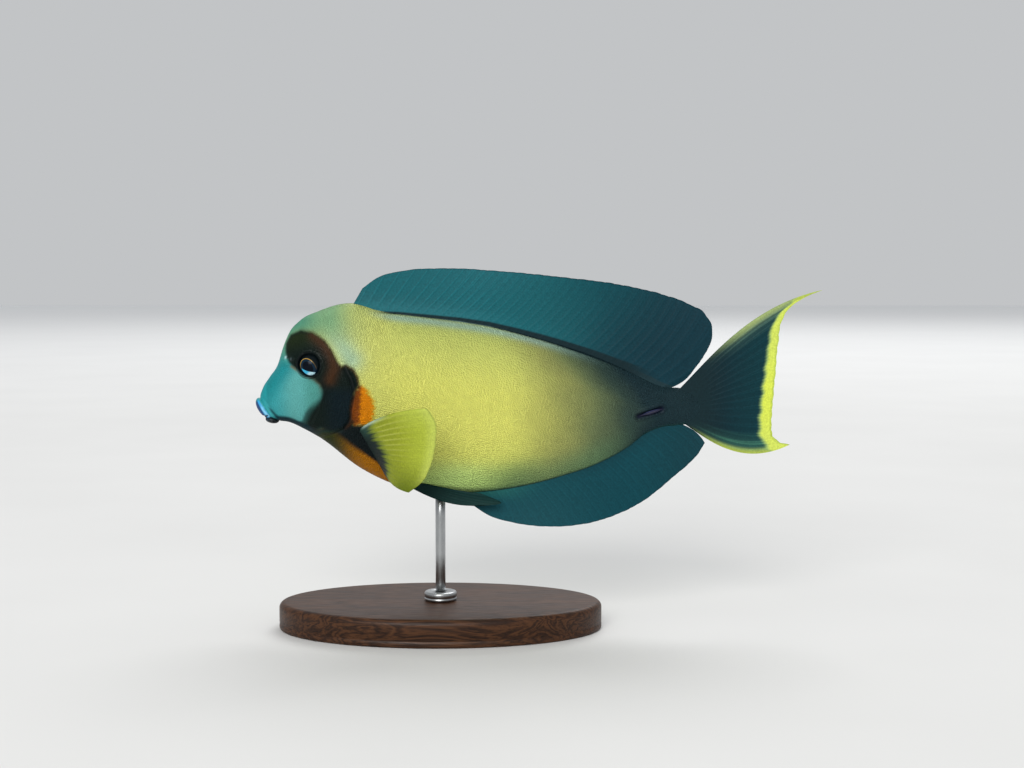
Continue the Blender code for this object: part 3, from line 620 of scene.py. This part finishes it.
EYE_RADIUS, EYE_HALF_DEPTH, EYE_SINK = 4.6, 3.6, 2.0
EYE_RINGS, EYE_SPOKES = 72, 96
EYE_OPEN = 0.62  # how far round the ball is built, as a share of half a turn
EYE_FIT, EYE_DEEP_FIT = 0.985, 0.96  # it lies this much inside its solid
for side_name, side in SIDES:
    out = faces_out(*EYE_AT, side)
    rearwards = unit(np.cross(out, (0, 0, 1))) * side
    upwards = unit(np.cross(rearwards, out)) * side
    centre = np.array([EYE_AT[0], side * flank(*EYE_AT), EYE_AT[1]]) - out * EYE_SINK
    open_turn = np.linspace(0, EYE_OPEN, EYE_RINGS) * math.pi
    polar, spoke = np.meshgrid(open_turn, full_turn(EYE_SPOKES), indexing="ij")
    across = EYE_RADIUS * EYE_FIT * np.sin(polar) * np.cos(spoke)
    up = EYE_RADIUS * EYE_FIT * np.sin(polar) * np.sin(spoke)
    deep = EYE_HALF_DEPTH * EYE_DEEP_FIT * np.cos(polar)
    points = centre + across[..., None] * rearwards + up[..., None] * upwards + deep[..., None] * out
    angle = np.arctan2(up, across * side)
    out_in_eye = iris_place(across, up)
    ring_light = 0.2 + 0.8 * ease(np.sin(angle + 0.35), -0.3, 0.7)
    shine = pale_crescent(across, up)
    colours = layered(
        plain("#081726", up),
        ("#123042", bell(out_in_eye - 0.78, 0.13) * (0.6 + 0.4 * np.sin(34 * angle)) * 0.7),
        ("#020812", ease(0.66 - out_in_eye, -0.03, 0.03)),
        ("#3fa6cc", shine),
        ("#c9e8ee", shine * ease(across + 1.4 * (-2.9 - up), -0.6, 1.5) * 0.8),
        ("#c29d48", bell(out_in_eye - 0.985, 0.032) * ring_light * ease(up + 1.9, 0, 1.2)),
        ("#0a1215", ease(out_in_eye - 1.05, -0.03, 0.03)),
    )
    away = 0.49 * polar / (EYE_OPEN * math.pi)
    eye_map = joined(0.5 + away * np.cos(spoke), 0.5 + away * np.sin(spoke))
    rings, _, back_face = closed_faces(EYE_RINGS, EYE_SPOKES)
    faces = [rings[EYE_SPOKES:], back_face[:, ::-1]]
    eye = mesh_piece(f"eyeball_{side_name}", points, faces, eye_finish, colours, eye_map)
    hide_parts(f"eye_{side_name}")

# THE LIPS. A small mouth low on the steep snout: full pale blue lips with a deep blue front edge, and a
# dark lower jaw. Each lip is a soft roll with fine upright creases.

# Moist lip: smooth skin in fine creases, so its shine is soft.
lip_finish = grained_finish(
    "moist_lip", 1.43, 5, (0.85, 1.12), {"Roughness": 0.38, "Specular IOR Level": 0.3}, dents=(0.3, 0.0002)
)


def leaned(points, lean):
    """Points turned in the middle plane, with their tops towards the tail."""
    s, y, z = np.moveaxis(points, -1, 0)
    return joined(s * math.cos(lean) + z * math.sin(lean), y, z * math.cos(lean) - s * math.sin(lean))


def ball(rings, spokes):
    """Points of a round ball, which are also the ways from its centre, with its map and its faces."""
    half_turn = np.linspace(0.004, 0.996, rings) * math.pi
    polar, spoke = np.meshgrid(half_turn, full_turn(spokes), indexing="ij")
    way = joined(np.sin(polar) * np.cos(spoke), np.sin(polar) * np.sin(spoke), np.cos(polar))
    spots = joined(spoke / math.tau, polar / math.pi)
    return way, spots, closed_faces(rings, spokes)


LIPS = {  # half sizes, lean, centre, skin colour and colour of the front edge
    "lip_upper": ((2.44, 3.52, 4.9), math.radians(-36), (3.76, 0, 0.7), "#2f98cf", "#0a3a6e"),
    "lip_lower": ((2.7, 2.9, 1.42), math.radians(10), (6.8, 0, -3.9), "#061218", "#05202f"),
}
for name, (half, lean, centre, pale, deep_blue) in LIPS.items():
    way, spots, faces = ball(90, 120)
    points = leaned(way * np.array(half), lean) + np.array(centre)
    upper = name == "lip_upper"
    sideways, upwards, ahead = np.abs(way[..., 1]), way[..., 2], -way[..., 0] * half[0]
    # upright creases, deepest where the lip rolls inwards
    angle = np.arctan2(points[..., 1], 4.0 - points[..., 0] + centre[0])
    crease = 0.05 * np.sin(46 * angle + 1.5 * np.sin(3 * points[..., 2]))
    crease = crease * ease(1.5 - np.abs(upwards), 0.4, 1.0)
    # the mouth opens in an arched slit low on the front
    slit = upper * bell(upwards + 0.42 + 0.35 * sideways, 0.1) * ease(-way[..., 0], -0.1, 0.4)
    points = points + way * (crease - 0.55 * slit)[..., None]
    colours = plain(pale, ahead)
    if upper:
        colours = layered(
            colours,
            # painted highlight: pale blue-white low on the front of the upper lip
            ("#8fd0ec", bell(ahead - 0.35, 0.5) * ease(0.5 - upwards, 0, 0.6) * 0.8),
            ("#2b8f92", ease(-0.35 - ahead, -0.25, 0.35)),
            ("#0b3440", ease(-upwards, 0.8, 0.98)),
        )
    colours = layered(
        colours,
        (deep_blue, ease(ahead + 0.6 * upwards, 0.5, 1.1)),
        ("#25878b", ease(upwards, 0.72, 0.95) * upper),
        # painted shade inside the slit of the mouth
        ("#04141c", slit),
    )
    lip = mesh_piece(f"{name}_roll", points, faces, lip_finish, colours, spots)
    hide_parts(name)

# THE TAIL SPINES. The surgeon's blade on each side of the tail stem: a flat, sharp spine that points
# forwards and folds into a groove, with dark violet skin round it.

# Folding spine: smooth bone under thin dark skin, finely streaked along its length.
spine_finish = grained_finish(
    "folding_spine", 0.385, 3, (0.8, 1.2), {"Roughness": 0.4, "Specular IOR Level": 0.3},
    stretch=(0.15, 1, 1),
)
SPINE_AT, SPINE_LEAN = (157.8, -0.8), math.radians(17.5)
BLADE_HALF = np.array([4.5, 0.66, 0.72])

for side_name, side in SIDES:
    way, spots, faces = ball(40, 64)
    way = way[..., ::-1]
    # blade: its edge runs along the upper side, and it narrows to a point at the front
    thin = np.clip(1 - 0.75 * ease(-way[..., 0], 0.1, 1.0), 0.1, 1)
    upper_edge = thin * (1 - 0.5 * ease(way[..., 2], 0, 1))
    points = leaned(way * BLADE_HALF * joined(np.ones_like(thin), upper_edge, thin), -SPINE_LEAN)
    points = points * np.array([1, side, 1])
    points = points + np.array([SPINE_AT[0], side * flank(*SPINE_AT), SPINE_AT[1]])
    bright = ease(way[..., 2], 0.3, 0.9)
    colours = layered(plain("#131530", bright), ("#2a3052", bright))
    blade = mesh_piece(f"blade_{side_name}", points, faces, spine_finish, colours, spots)
    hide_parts(f"tail_spine_{side_name}")

# THE FINS. Thin skin over stiff rays. Each soft ray splits in two and again towards the margin, and the
# skin between the rays is a little hollow. The first rays of the dorsal and anal fins are plain spines.

FIN_MARGIN = 0.16  # half the thickness at the margin, in millimetres
RAY_RISE = 0.11

# Fin skin: thin, dull and finely speckled.
fin_finish = grained_finish(
    "fin_skin", 0.667, 4, (0.84, 1.14), {"Roughness": 0.5, "Specular IOR Level": 0.08}, dents=(0.25, 0.0001)
)


def bowed(root, tip, bow, v):
    """Points (s, z) on rays, bowed to the left of their way from root to tip."""
    way = tip - root
    left = unit(joined(-way[..., 1], way[..., 0]))
    late = np.clip(v, 0, 1) ** 1.25
    return root + way * v[..., None] + left * (bow * 4 * late * (1 - late))[..., None]


def raised(u, v, rays, spines):
    """Height of the rays, 0 to 1: each soft ray branches at about half its length, and once more."""
    place = u * rays - 0.5
    nearest = np.clip(np.round(place), 0, rays - 1)
    off = place - nearest
    soft = nearest >= spines
    first = np.where(soft, 0.13 * ease(v, 0.35, 0.85), 0)
    second = np.where(soft, 0.07 * ease(v, 0.68, 1.0), 0)
    width = np.where(soft, 0.15 - 0.08 * ease(v, 0.3, 0.9), 0.15 - 0.07 * v)
    branches = [a * first + b * second for a in (-1, 1) for b in (-1, 1)]
    high = np.max([bell(off - branch, width) for branch in branches], axis=0)
    # soft rays are made of short joints
    joints = 1 - 0.14 * soft * ease(v, 0.25, 0.5) * (np.sin(v * 150 + nearest * 2.1) > 0.82)
    return high * joints, off, nearest


def fin_sheet(
    name, middle, tint, replaced, rays, spines, rows, root_half, notch=0.12, ray_start=0.03, per_ray=12
):
    """A closed sheet over middle(u, v), which gives (s, y, z). tint(u, v, points, ray) gives its colours."""
    columns = rays * per_ray + 1
    u, v = np.meshgrid(np.linspace(0, 1, columns), np.linspace(0, 1, rows) ** 1.2, indexing="ij")
    high, off, nearest = raised(u, v, rays, spines)
    # margin: hollow between the rays, and torn here and there by a hair
    hollow = notch * 0.012 * (1 - np.cos(math.tau * off))
    v_there = v * (1 - hollow - 0.004 * np.sin(nearest * 1.9) ** 2 * (notch > 0))

    def near(du, dv):
        return middle(np.clip(u + du, 0, 1), np.clip(v_there + dv, 0, 1))

    here, step = near(0, 0), 0.003
    facing = unit(np.cross(near(step, 0) - near(-step, 0), near(0, step) - near(0, -step)))
    half = root_half + (FIN_MARGIN - root_half) * v**0.6
    edge = ease(v, 0.985, 1.0)
    sides = np.minimum(ease(u, 0, 0.5 / rays), ease(1 - u, 0, 0.5 / rays))
    ridge = RAY_RISE * high * ease(v, ray_start, ray_start + 0.19) * (1 - 0.6 * v)
    half = half * (1 - 0.6 * edge) * (0.35 + 0.65 * sides) + ridge * (1 - edge) * (0.4 + 0.6 * sides)
    points = np.stack((here + facing * half[..., None], here - facing * half[..., None]))
    total = columns * rows
    sheet = grid_faces(columns, rows, False)
    grid = np.arange(total).reshape(columns, rows)
    rim = np.concatenate((grid[:, 0], grid[-1, 1:], grid[-2::-1, -1], grid[0, -2:0:-1]))
    onwards = np.roll(rim, -1)
    faces = [sheet, sheet[:, ::-1] + total, joined(rim, rim + total, onwards + total, onwards)]
    colours = tint(u, v, here, high)
    spots = np.stack([joined(0.01 + 0.98 * u, height) for height in (0.01 + 0.48 * v, 0.99 - 0.48 * v)])
    made = mesh_piece(name, points, faces, fin_finish, np.stack((colours, colours)), spots)
    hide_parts(*replaced)


DORSAL_TIPS = (
    (0, 43.2, 48.6), (0.03, 49.4, 53), (0.08, 60.6, 55.8), (0.16, 76, 56.6), (0.3, 96.8, 55.6),
    (0.5, 122.4, 53.2), (0.7, 148, 49.8), (0.82, 164, 46), (0.9, 174, 42.2), (0.94, 179.8, 38.6),
    (0.965, 182.8, 33), (0.985, 181.6, 25.6), (1, 176.2, 18.6),
)
ANAL_TIPS = (
    (0, 86.4, -38), (0.05, 93.4, -42.5), (0.12, 103.4, -45.4), (0.24, 118.2, -47), (0.36, 131, -46.2),
    (0.5, 143, -43.2), (0.66, 155.6, -37), (0.82, 167.4, -27.2), (0.93, 176.6, -18.6), (1, 180, -13.2),
)
TAIL_TIPS = (
    (0, 228, 48), (0.05, 222.6, 46), (0.1, 217.6, 43.4), (0.16, 213.4, 40), (0.22, 211, 35.6),
    (0.32, 209.7, 28), (0.5, 208.6, 14.4), (0.7, 207.5, 0.2), (0.82, 207.3, -7.6), (0.9, 208.6, -11.6),
    (0.95, 211.4, -13.4), (1, 215.2, -14.0),
)
PECTORAL_TIPS = (
    (0, 71, 42, 4.2), (0.12, 73.8, 42.4, 0.2), (0.35, 74.2, 40.2, -8.4), (0.6, 72.2, 36.4, -17.6),
    (0.8, 68.8, 32, -24.6), (1, 63, 26, -29.8),
)
PELVIC_TIPS = ((0, 88.6, -37.7), (0.35, 94.2, -37.6), (0.65, 98.6, -36.5), (1, 90.6, -32.9))


def margin(tips):
    """The places of a fin's margin, from rows of (u, place)."""
    lines = [curve(*[(tip[0], tip[k]) for tip in tips]) for k in range(1, len(tips[0]))]
    return lambda u: joined(*[line(u) for line in lines])


def in_middle_plane(root, tips, bow, swing):
    """The middle surface of a fin that stands in the middle plane."""
    tip = margin(tips)

    def middle(u, v):
        at = bowed(root(u), tip(u), bow(u), v)
        return joined(at[..., 0], swing(u, v, at[..., 0]), at[..., 1])

    return middle


def base_line(start, end, edge, sink):
    def root(u):
        s = start + (end - start) * u
        return joined(s, edge(s) + sink)

    return root


def dorsal_tint(u, v, points, ray):
    s, z = points[..., 0], points[..., 2]
    above = z - BACK(s)
    colour = layered(
        plain("#135e67", s),
        ("#14535b", ease(s, 80, 125)),
        ("#0e434c", ease(s, 112, 145)),
        ("#0b3640", ease(s - 0.25 * z, 122, 162)),
        ("#0a2e39", ease(s - 1.1 * z, 86, 140) * 0.9),
        ("#2a646c", ease(10 - above, 0, 9) * ease(112 - s, 0, 40) * 0.5),
    )
    # skin between the rays is streaked darker beside each of them, most of all at the front
    streak = 0.12 + 0.2 * ease(130 - s, 0, 70)
    colour = colour * (1 - streak * bell(ray - 0.25, 0.35) * ease(v, 0.15, 0.4))[..., None]
    below_seam = ease(seam_height(s) - z, 0, 0.5)
    return layered(
        colour,
        ("#0b343f", ease(v, 0.975, 0.995) * 0.6),
        # painted highlight: the pale line below the seam, carried on to the fin's root
        ("#8db4b2", below_seam * ease(s, 44, 52) * ease(144 - s, 0, 40) * 0.8),
        ("#1a3036", below_seam * ease(s, 125, 145)),
        # dark seam line: partly its own colour, partly painted shade
        ("#0e2328", seam_line(s, z)),
    )


def anal_tint(u, v, points, ray):
    s = points[..., 0]
    colour = layered(
        plain("#12464f", s),
        ("#0c404a", ease(s, 110, 150)),
        ("#0b3740", ease(s, 150, 178)),
        ("#0d333b", ease(0.3 - v, 0, 0.3) * ease(s, 112, 140) * 0.6),
        ("#2a6f66", ease(0.5 - v, 0, 0.45) * ease(118 - s, 0, 24) * 0.55),
    )
    colour = colour * (1 - 0.16 * bell(ray - 0.25, 0.35))[..., None]
    return layered(colour, ("#0a2c35", ease(v, 0.975, 0.995) * 0.6))


TAIL_RAYS = 17


def tail_tint(u, v, points, ray):
    s = points[..., 0]
    colour = layered(
        plain("#0b262e", s),
        ("#0a3037", ease(s, 182, 204)),
        ("#11252a", ease(192 - s, 0, 14)),
    )
    colour = colour * (1 + 0.16 * (ray - 0.3) * ease(v, 0.15, 0.4))[..., None]
    length = np.linalg.norm(points[:, -1:, :] - points[:, :1, :], axis=-1)
    from_margin = (1 - v) * length
    # pale edges above and below, which fade inwards in streaks along their rays
    from_top = (u * TAIL_RAYS - 0.5) + 1.6 * ease(0.6 - v, 0, 0.5)
    upper = ease(3.6 - from_top, 0, 3.4) * ease(v, 0.2, 0.7)
    lower = ease(u * TAIL_RAYS - 14.0, 0, 2.8) * ease(v, 0.1, 0.6)
    streak = 0.35 + 0.65 * ray
    colour = layered(
        colour,
        ("#6d8f78", upper * streak * 0.75),
        ("#93a468", ease(1.5 - from_top, -0.4, 1.6) * ease(v, 0.2, 0.6) * 0.9),
        ("#4f8a70", lower * streak * 0.75),
        ("#a5b44c", ease(u * TAIL_RAYS - 15.9, 0, 1.0) * ease(v, 0.1, 0.5) * 0.9),
    )
    # yellow band down the margin, with a soft inner edge that runs in along the rays
    band = 4.3 + 0.5 * (ray - 0.5) + 0.3 * np.sin(u * 61)
    band = band + 6.0 * ease(0.1 - u, 0, 0.1) + 2.6 * ease(u - 0.93, 0, 0.07)
    share = ease(band - from_margin, -0.8, 0.9)
    return layered(
        colour,
        ("#84a466", ease(band + 0.9 - from_margin, -0.8, 0.8) * 0.8),
        ("#c2d05a", share),
        ("#ccd84a", share * ease(u, 0.3, 0.6) * ease(0.95 - u, 0, 0.3) * 0.7),
        ("#a0b34a", share * ease(1.1 - from_margin, 0, 0.8) * 0.7),
        ("#a2b350", share * ease(0.09 - u, 0, 0.06)),
    )


def pectoral_tint(u, v, points, ray):
    colour = layered(
        plain("#919c28", u),
        ("#a3b03c", ease(v, 0.5, 1.0)),
        ("#b0bd4e", ease(0.3 - u, 0, 0.3) * ease(v, 0.3, 0.9) * 0.6),
        ("#606e14", ease(u, 0.5, 1.0) * ease(v, 0.15, 0.8)),
        ("#79841c", bell(v - 0.4, 0.16) * 0.5),
        ("#b4ba56", ray * ease(v, 0.12, 0.3) * ease(0.85 - v, 0, 0.5) * ease(0.75 - u, 0, 0.4) * 0.6),
        ("#bcc862", ease(v, 0.84, 1.0) * ease(0.95 - u, 0, 0.3) * 0.6),
    )
    ends = 0.22 + 0.09 * ease(u, 0.15, 0.6) + 0.05 * ray + 0.02 * np.sin(u * 40)
    return layered(
        colour,
        ("#4f6426", ease(ends + 0.08 - v, 0, 0.14) * 0.7),
        ("#142321", ease(ends - v, 0, 0.12)),
        ("#2c5348", bell(v - 0.12, 0.07) * ease(0.3 - u, 0, 0.25) * 0.5),
        # painted highlight along the fin's upper, leading edge
        ("#a3bcae", bell(u, 0.03) * ease(v, 0.05, 0.15) * ease(0.55 - v, 0, 0.35) * 0.9),
    )


def pelvic_tint(u, v, points, ray):
    return layered(
        plain("#0c2826", u),
        ("#153a39", (0.35 + 0.65 * ray) * ease(v, 0.2, 0.8) * 0.5),
    )


fin_sheet(
    "dorsal_sheet",
    in_middle_plane(base_line(38.4, 162.5, BACK, -2.4), DORSAL_TIPS, lambda u: -2.4 * u,
                    lambda u, v, s: 1.3 * v * v * np.sin(3 * math.pi * u)),
    dorsal_tint, ("dorsal_fin",), rays=36, spines=8, rows=64, root_half=0.8,
)
fin_sheet(
    "anal_sheet",
    in_middle_plane(base_line(85.0, 167.0, BELLY, 2.4), ANAL_TIPS, lambda u: 1.6 * u,
                    lambda u, v, s: -1.3 * v * v * np.sin(2.5 * math.pi * u)),
    anal_tint, ("anal_fin",), rays=27, spines=3, rows=50, root_half=0.8,
)


def tail_root(u):
    return joined(168 + 4 * np.sin(math.pi * u), 6.8 - 10 * u)


fin_sheet(
    "tail_sheet",
    in_middle_plane(tail_root, TAIL_TIPS, lambda u: 6.3 * (1 - 2 * u) ** 3 - 1.5 * u**4,
                    lambda u, v, s: 4.5 * np.clip((s - 168) / 60, 0, 1) ** 2),
    tail_tint, ("tail_fin_upper", "tail_fin_lower"), rays=TAIL_RAYS, spines=0, rows=84,
    root_half=1.2, notch=0.25, ray_start=0.2, per_ray=20,
)


def pectoral_middle(side):
    tip = margin(PECTORAL_TIPS)

    def middle(u, v):
        s, z = 41.8 + 10.4 * u, -7.4 - 16.8 * u
        root = joined(s, flank(s, z) - 2.0, z)
        cup = joined(np.full_like(u, -1.4), np.full_like(u, 1.8), 2.0 - 3.0 * u)
        at = root + (tip(u) - root) * v[..., None] + cup * (4 * v * (1 - v))[..., None]
        return at * np.array([1, side, 1])

    return middle


def pelvic_middle(side):
    tip = margin(PELVIC_TIPS)

    def middle(u, v):
        root = joined(56.4 + 4.6 * u, np.full_like(u, -27.6))
        at = bowed(root, tip(u), -2.6 + 2.2 * u, v)
        return joined(at[..., 0], side * (4.0 + 2.2 * v), at[..., 1])

    return middle


for side_name, side in SIDES:
    fin_sheet(
        f"pectoral_sheet_{side_name}", pectoral_middle(side), pectoral_tint, (f"pectoral_fin_{side_name}",),
        rays=14, spines=0, rows=56, root_half=0.75, per_ray=16,
    )
    fin_sheet(
        f"pelvic_sheet_{side_name}", pelvic_middle(side), pelvic_tint, (f"pelvic_fin_{side_name}",),
        rays=6, spines=1, rows=48, root_half=0.9, notch=0, per_ray=16,
    )

# THE STAND. A low oval foot of dark oiled wood with a rounded top edge, a turned steel collar let on to
# it, and a brushed steel rod that goes up into the belly.

STAND_AT = 74.0
FOOT_HALF = (65.0, 39.0)
FOOT_HEIGHT = 11.0
ROD_HALF = (2.0, 2.0)
COLLAR_HALF = (6.35, 6.35)


def turned(name, profile, shape, finish, count):
    """A closed form from (reach, height) points, lowest first, swept round shape = (half s, half y)."""
    angle = full_turn(count)
    reach, height = np.array(profile, float).T
    rim = joined(np.cos(angle) * shape[0], np.sin(angle) * shape[1])
    steps = unit(rim / np.array(shape) ** 2)
    rings = rim[None] + steps[None] * reach[:, None, None]
    z = np.repeat(height[:, None], count, axis=1) - AXIS_HEIGHT
    points = joined(STAND_AT + rings[..., 0], rings[..., 1], z)
    rows = len(profile)
    spots = joined(*np.meshgrid(angle / math.tau, np.linspace(0, 1, rows)))
    grey = np.full(points.shape, 0.5)
    return mesh_piece(name, points, closed_faces(rows, count), finish, grey, spots)


# Oiled wood: year rings seen from the side, with darker and rougher pores, all drawn out lengthwise.
wood = new_material("oiled_wood")
YEAR_RING, WOOD_PORE = 6.25, 0.526
wood_place = node(wood, "TexCoord").outputs["Object"]
lengthwise = node(wood, "Mapping", {"Vector": wood_place, "Scale": (0.07, 1, 1)})
growth = node(
    wood, "TexNoise", {"Vector": lengthwise, "Scale": METRE / YEAR_RING, "Detail": 3, "Distortion": 0.6}
)
year_lines = node(wood, "Math", {0: growth, 1: 55.0}, operation="MULTIPLY")
waves = node(wood, "Math", {0: year_lines}, operation="SINE")
season = node(wood, "MapRange", {"Value": waves, "From Min": -1.0, "From Max": 1.0})
bands = node(wood, "ValToRGB", {"Fac": season}, stops=("#2c1a10", "#4b2f1c"))
wood_pores = node(wood, "TexNoise", {"Vector": lengthwise, "Scale": METRE / WOOD_PORE, "Detail": 4})
pore_dark = node(
    wood, "MapRange",
    {"Value": wood_pores, "From Min": 0.36, "From Max": 0.5, "To Min": 0.55, "To Max": 1.0},
)
tinted = node(wood, "HueSaturation", {"Color": bands, "Value": pore_dark})
gloss = node(wood, "MapRange", {"Value": wood_pores, **MIDDLE, "To Min": 0.5, "To Max": 0.36})
dents = node(wood, "Bump", {"Height": wood_pores, "Strength": 0.35, "Distance": 0.0002})
surface = node(
    wood, "BsdfPrincipled",
    {"Base Color": tinted, "Roughness": gloss, "Specular IOR Level": 0.2, "Normal": dents},
)
node(wood, "OutputMaterial", {"Surface": surface})


def rounded(reach, height, radius, start, count):
    """A rounded top edge below a height, from an angle of its arc to the top."""
    angles = np.linspace(start, math.pi / 2, count)
    return [(reach - radius * (1 - math.cos(a)), height - radius + radius * math.sin(a)) for a in angles]


foot_profile = [
    (-3.2, 0.0), (-1.0, 0.0), (-0.4, 0.25), (-0.1, 0.9), (-0.1, 2.2), (-0.35, 2.5), (-0.35, 2.9),
    (-0.1, 3.2), *rounded(-0.1, FOOT_HEIGHT, 2.4, 0, 12), (-6.0, FOOT_HEIGHT), (-20.0, FOOT_HEIGHT),
]
foot = turned("foot", foot_profile, FOOT_HALF, wood, 256)
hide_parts("stand_base")

# Brushed steel: hairlines round the rod, drawn as coarse as they need to show, and a faint clouding.
steel = new_material("brushed_steel")
HAIRLINE, CLOUD = 1.11, 8.33
steel_place = node(steel, "TexCoord").outputs["Object"]
round_the_rod = node(steel, "Mapping", {"Vector": steel_place, "Scale": (1, 1, 14)})
hairs = node(steel, "TexNoise", {"Vector": round_the_rod, "Scale": METRE / HAIRLINE, "Detail": 3})
clouding = node(steel, "TexNoise", {"Vector": steel_place, "Scale": METRE / CLOUD, "Detail": 2})
shade = node(steel, "ValToRGB", {"Fac": clouding}, stops=("#8f9294", "#b9bbbc"))
gloss = node(steel, "MapRange", {"Value": hairs, **MIDDLE, "To Min": 0.26, "To Max": 0.4})
dents = node(steel, "Bump", {"Height": hairs, "Strength": 0.2, "Distance": 0.00005})
surface = node(
    steel, "BsdfPrincipled", {"Base Color": shade, "Metallic": 1.0, "Roughness": gloss, "Normal": dents}
)
node(steel, "OutputMaterial", {"Surface": surface})

rod_top = AXIS_HEIGHT + float(BELLY(STAND_AT)) + 1.6
rod_profile = [(-0.4, 11.3), (0.0, 11.6), (0.0, 30.0), (0.0, 45.0), (0.0, rod_top)]
rod = turned("rod", rod_profile, ROD_HALF, steel, 64)
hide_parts("stand_rod")

collar_profile = [
    (0.0, 11.3), (0.0, 11.5), (0.15, 11.7), (0.15, 12.2), (-0.1, 12.35), (-0.1, 12.5), (0.15, 12.65),
    (0.15, 13.6), *rounded(0.15, 14.8, 0.9, 0.1, 7), (-3.6, 14.8), (-4.0, 14.5), (-4.0, 11.3),
]
collar = turned("collar", collar_profile, COLLAR_HALF, steel, 96)
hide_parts("stand_collar")

# THE ROOM. A plain pale floor, soft lights on both sides and above, and the camera where the photograph
# was taken from: beside the animal's left flank, about level with it.

FLOOR_REACH = 6.0
ROOM_COLOUR = "#f3f4f5"

# Painted floor: pale and dull, with a faint mottle.
pale_floor = new_material("pale_floor")
FLOOR_MOTTLE = 167
floor_place = node(pale_floor, "TexCoord").outputs["Object"]
mottle = node(pale_floor, "TexNoise", {"Vector": floor_place, "Scale": METRE / FLOOR_MOTTLE, "Detail": 3})
shade = node(pale_floor, "ValToRGB", {"Fac": mottle}, stops=("#cececd", "#d7d7d6"))
# far off, the floor is as pale as the room, so no edge of it shows
far = node(pale_floor, "VectorMath", {0: floor_place}, operation="LENGTH").outputs["Value"]
fade = node(pale_floor, "MapRange", {"Value": far, "From Min": 1.0, "From Max": FLOOR_REACH})
room = (*linear(ROOM_COLOUR), 1)
whitened = node(pale_floor, "Mix", {0: fade, 6: shade, 7: room}, data_type="RGBA").outputs[2]
surface = node(
    pale_floor, "BsdfPrincipled", {"Base Color": whitened, "Roughness": 0.9, "Specular IOR Level": 0.1}
)
node(pale_floor, "OutputMaterial", {"Surface": surface})
floor_mesh = bpy.data.meshes.new("floor")
floor_corners = [(x * FLOOR_REACH, y * FLOOR_REACH, 0) for x, y in ((-1, -1), (1, -1), (1, 1), (-1, 1))]
floor_mesh.from_pydata(floor_corners, [], [(0, 1, 2, 3)])
floor_mesh.materials.append(pale_floor)
floor = added("floor", floor_mesh)

world = bpy.data.worlds.new("pale_room")
world.use_nodes = True
background = world.node_tree.nodes["Background"].inputs
background["Color"].default_value = (0.9, 0.92, 0.94, 1)
background["Strength"].default_value = 0.6
bpy.context.scene.world = world
bpy.context.scene.view_settings.view_transform = "Standard"


def aimed(made, at, towards):
    made.location = at
    made.rotation_euler = (towards - at).to_track_quat("-Z", "Y").to_euler()


def soft_light(name, at, towards, size, power, colour):
    lamp = bpy.data.lights.new(name, "AREA")
    lamp.shape, lamp.size, lamp.energy, lamp.color = "DISK", size, power, colour
    aimed(added(name, lamp), Vector(at), Vector(towards))


soft_light("key", (-0.8, -3.6, 2.0), (0, 0, 0.09), 2.4, 134.0, (1.0, 0.98, 0.95))
soft_light("back", (0.6, 2.2, 3.0), (0, 0, 0.05), 2.6, 76.0, (1.0, 1.0, 1.0))

LOOK_AT = Vector((-0.0112, 0.0, 0.0984))
CAMERA_FAR = 0.65
CAMERA_RISE = math.radians(4.0)
camera_data = bpy.data.cameras.new("camera")
camera_data.lens, camera_data.sensor_width = 57.13, 36.0
camera_data.clip_start, camera_data.clip_end = 0.02, 30.0
camera = added("camera", camera_data)
aimed(camera, LOOK_AT + CAMERA_FAR * Vector((0.0, -math.cos(CAMERA_RISE), math.sin(CAMERA_RISE))), LOOK_AT)
bpy.context.scene.camera = camera
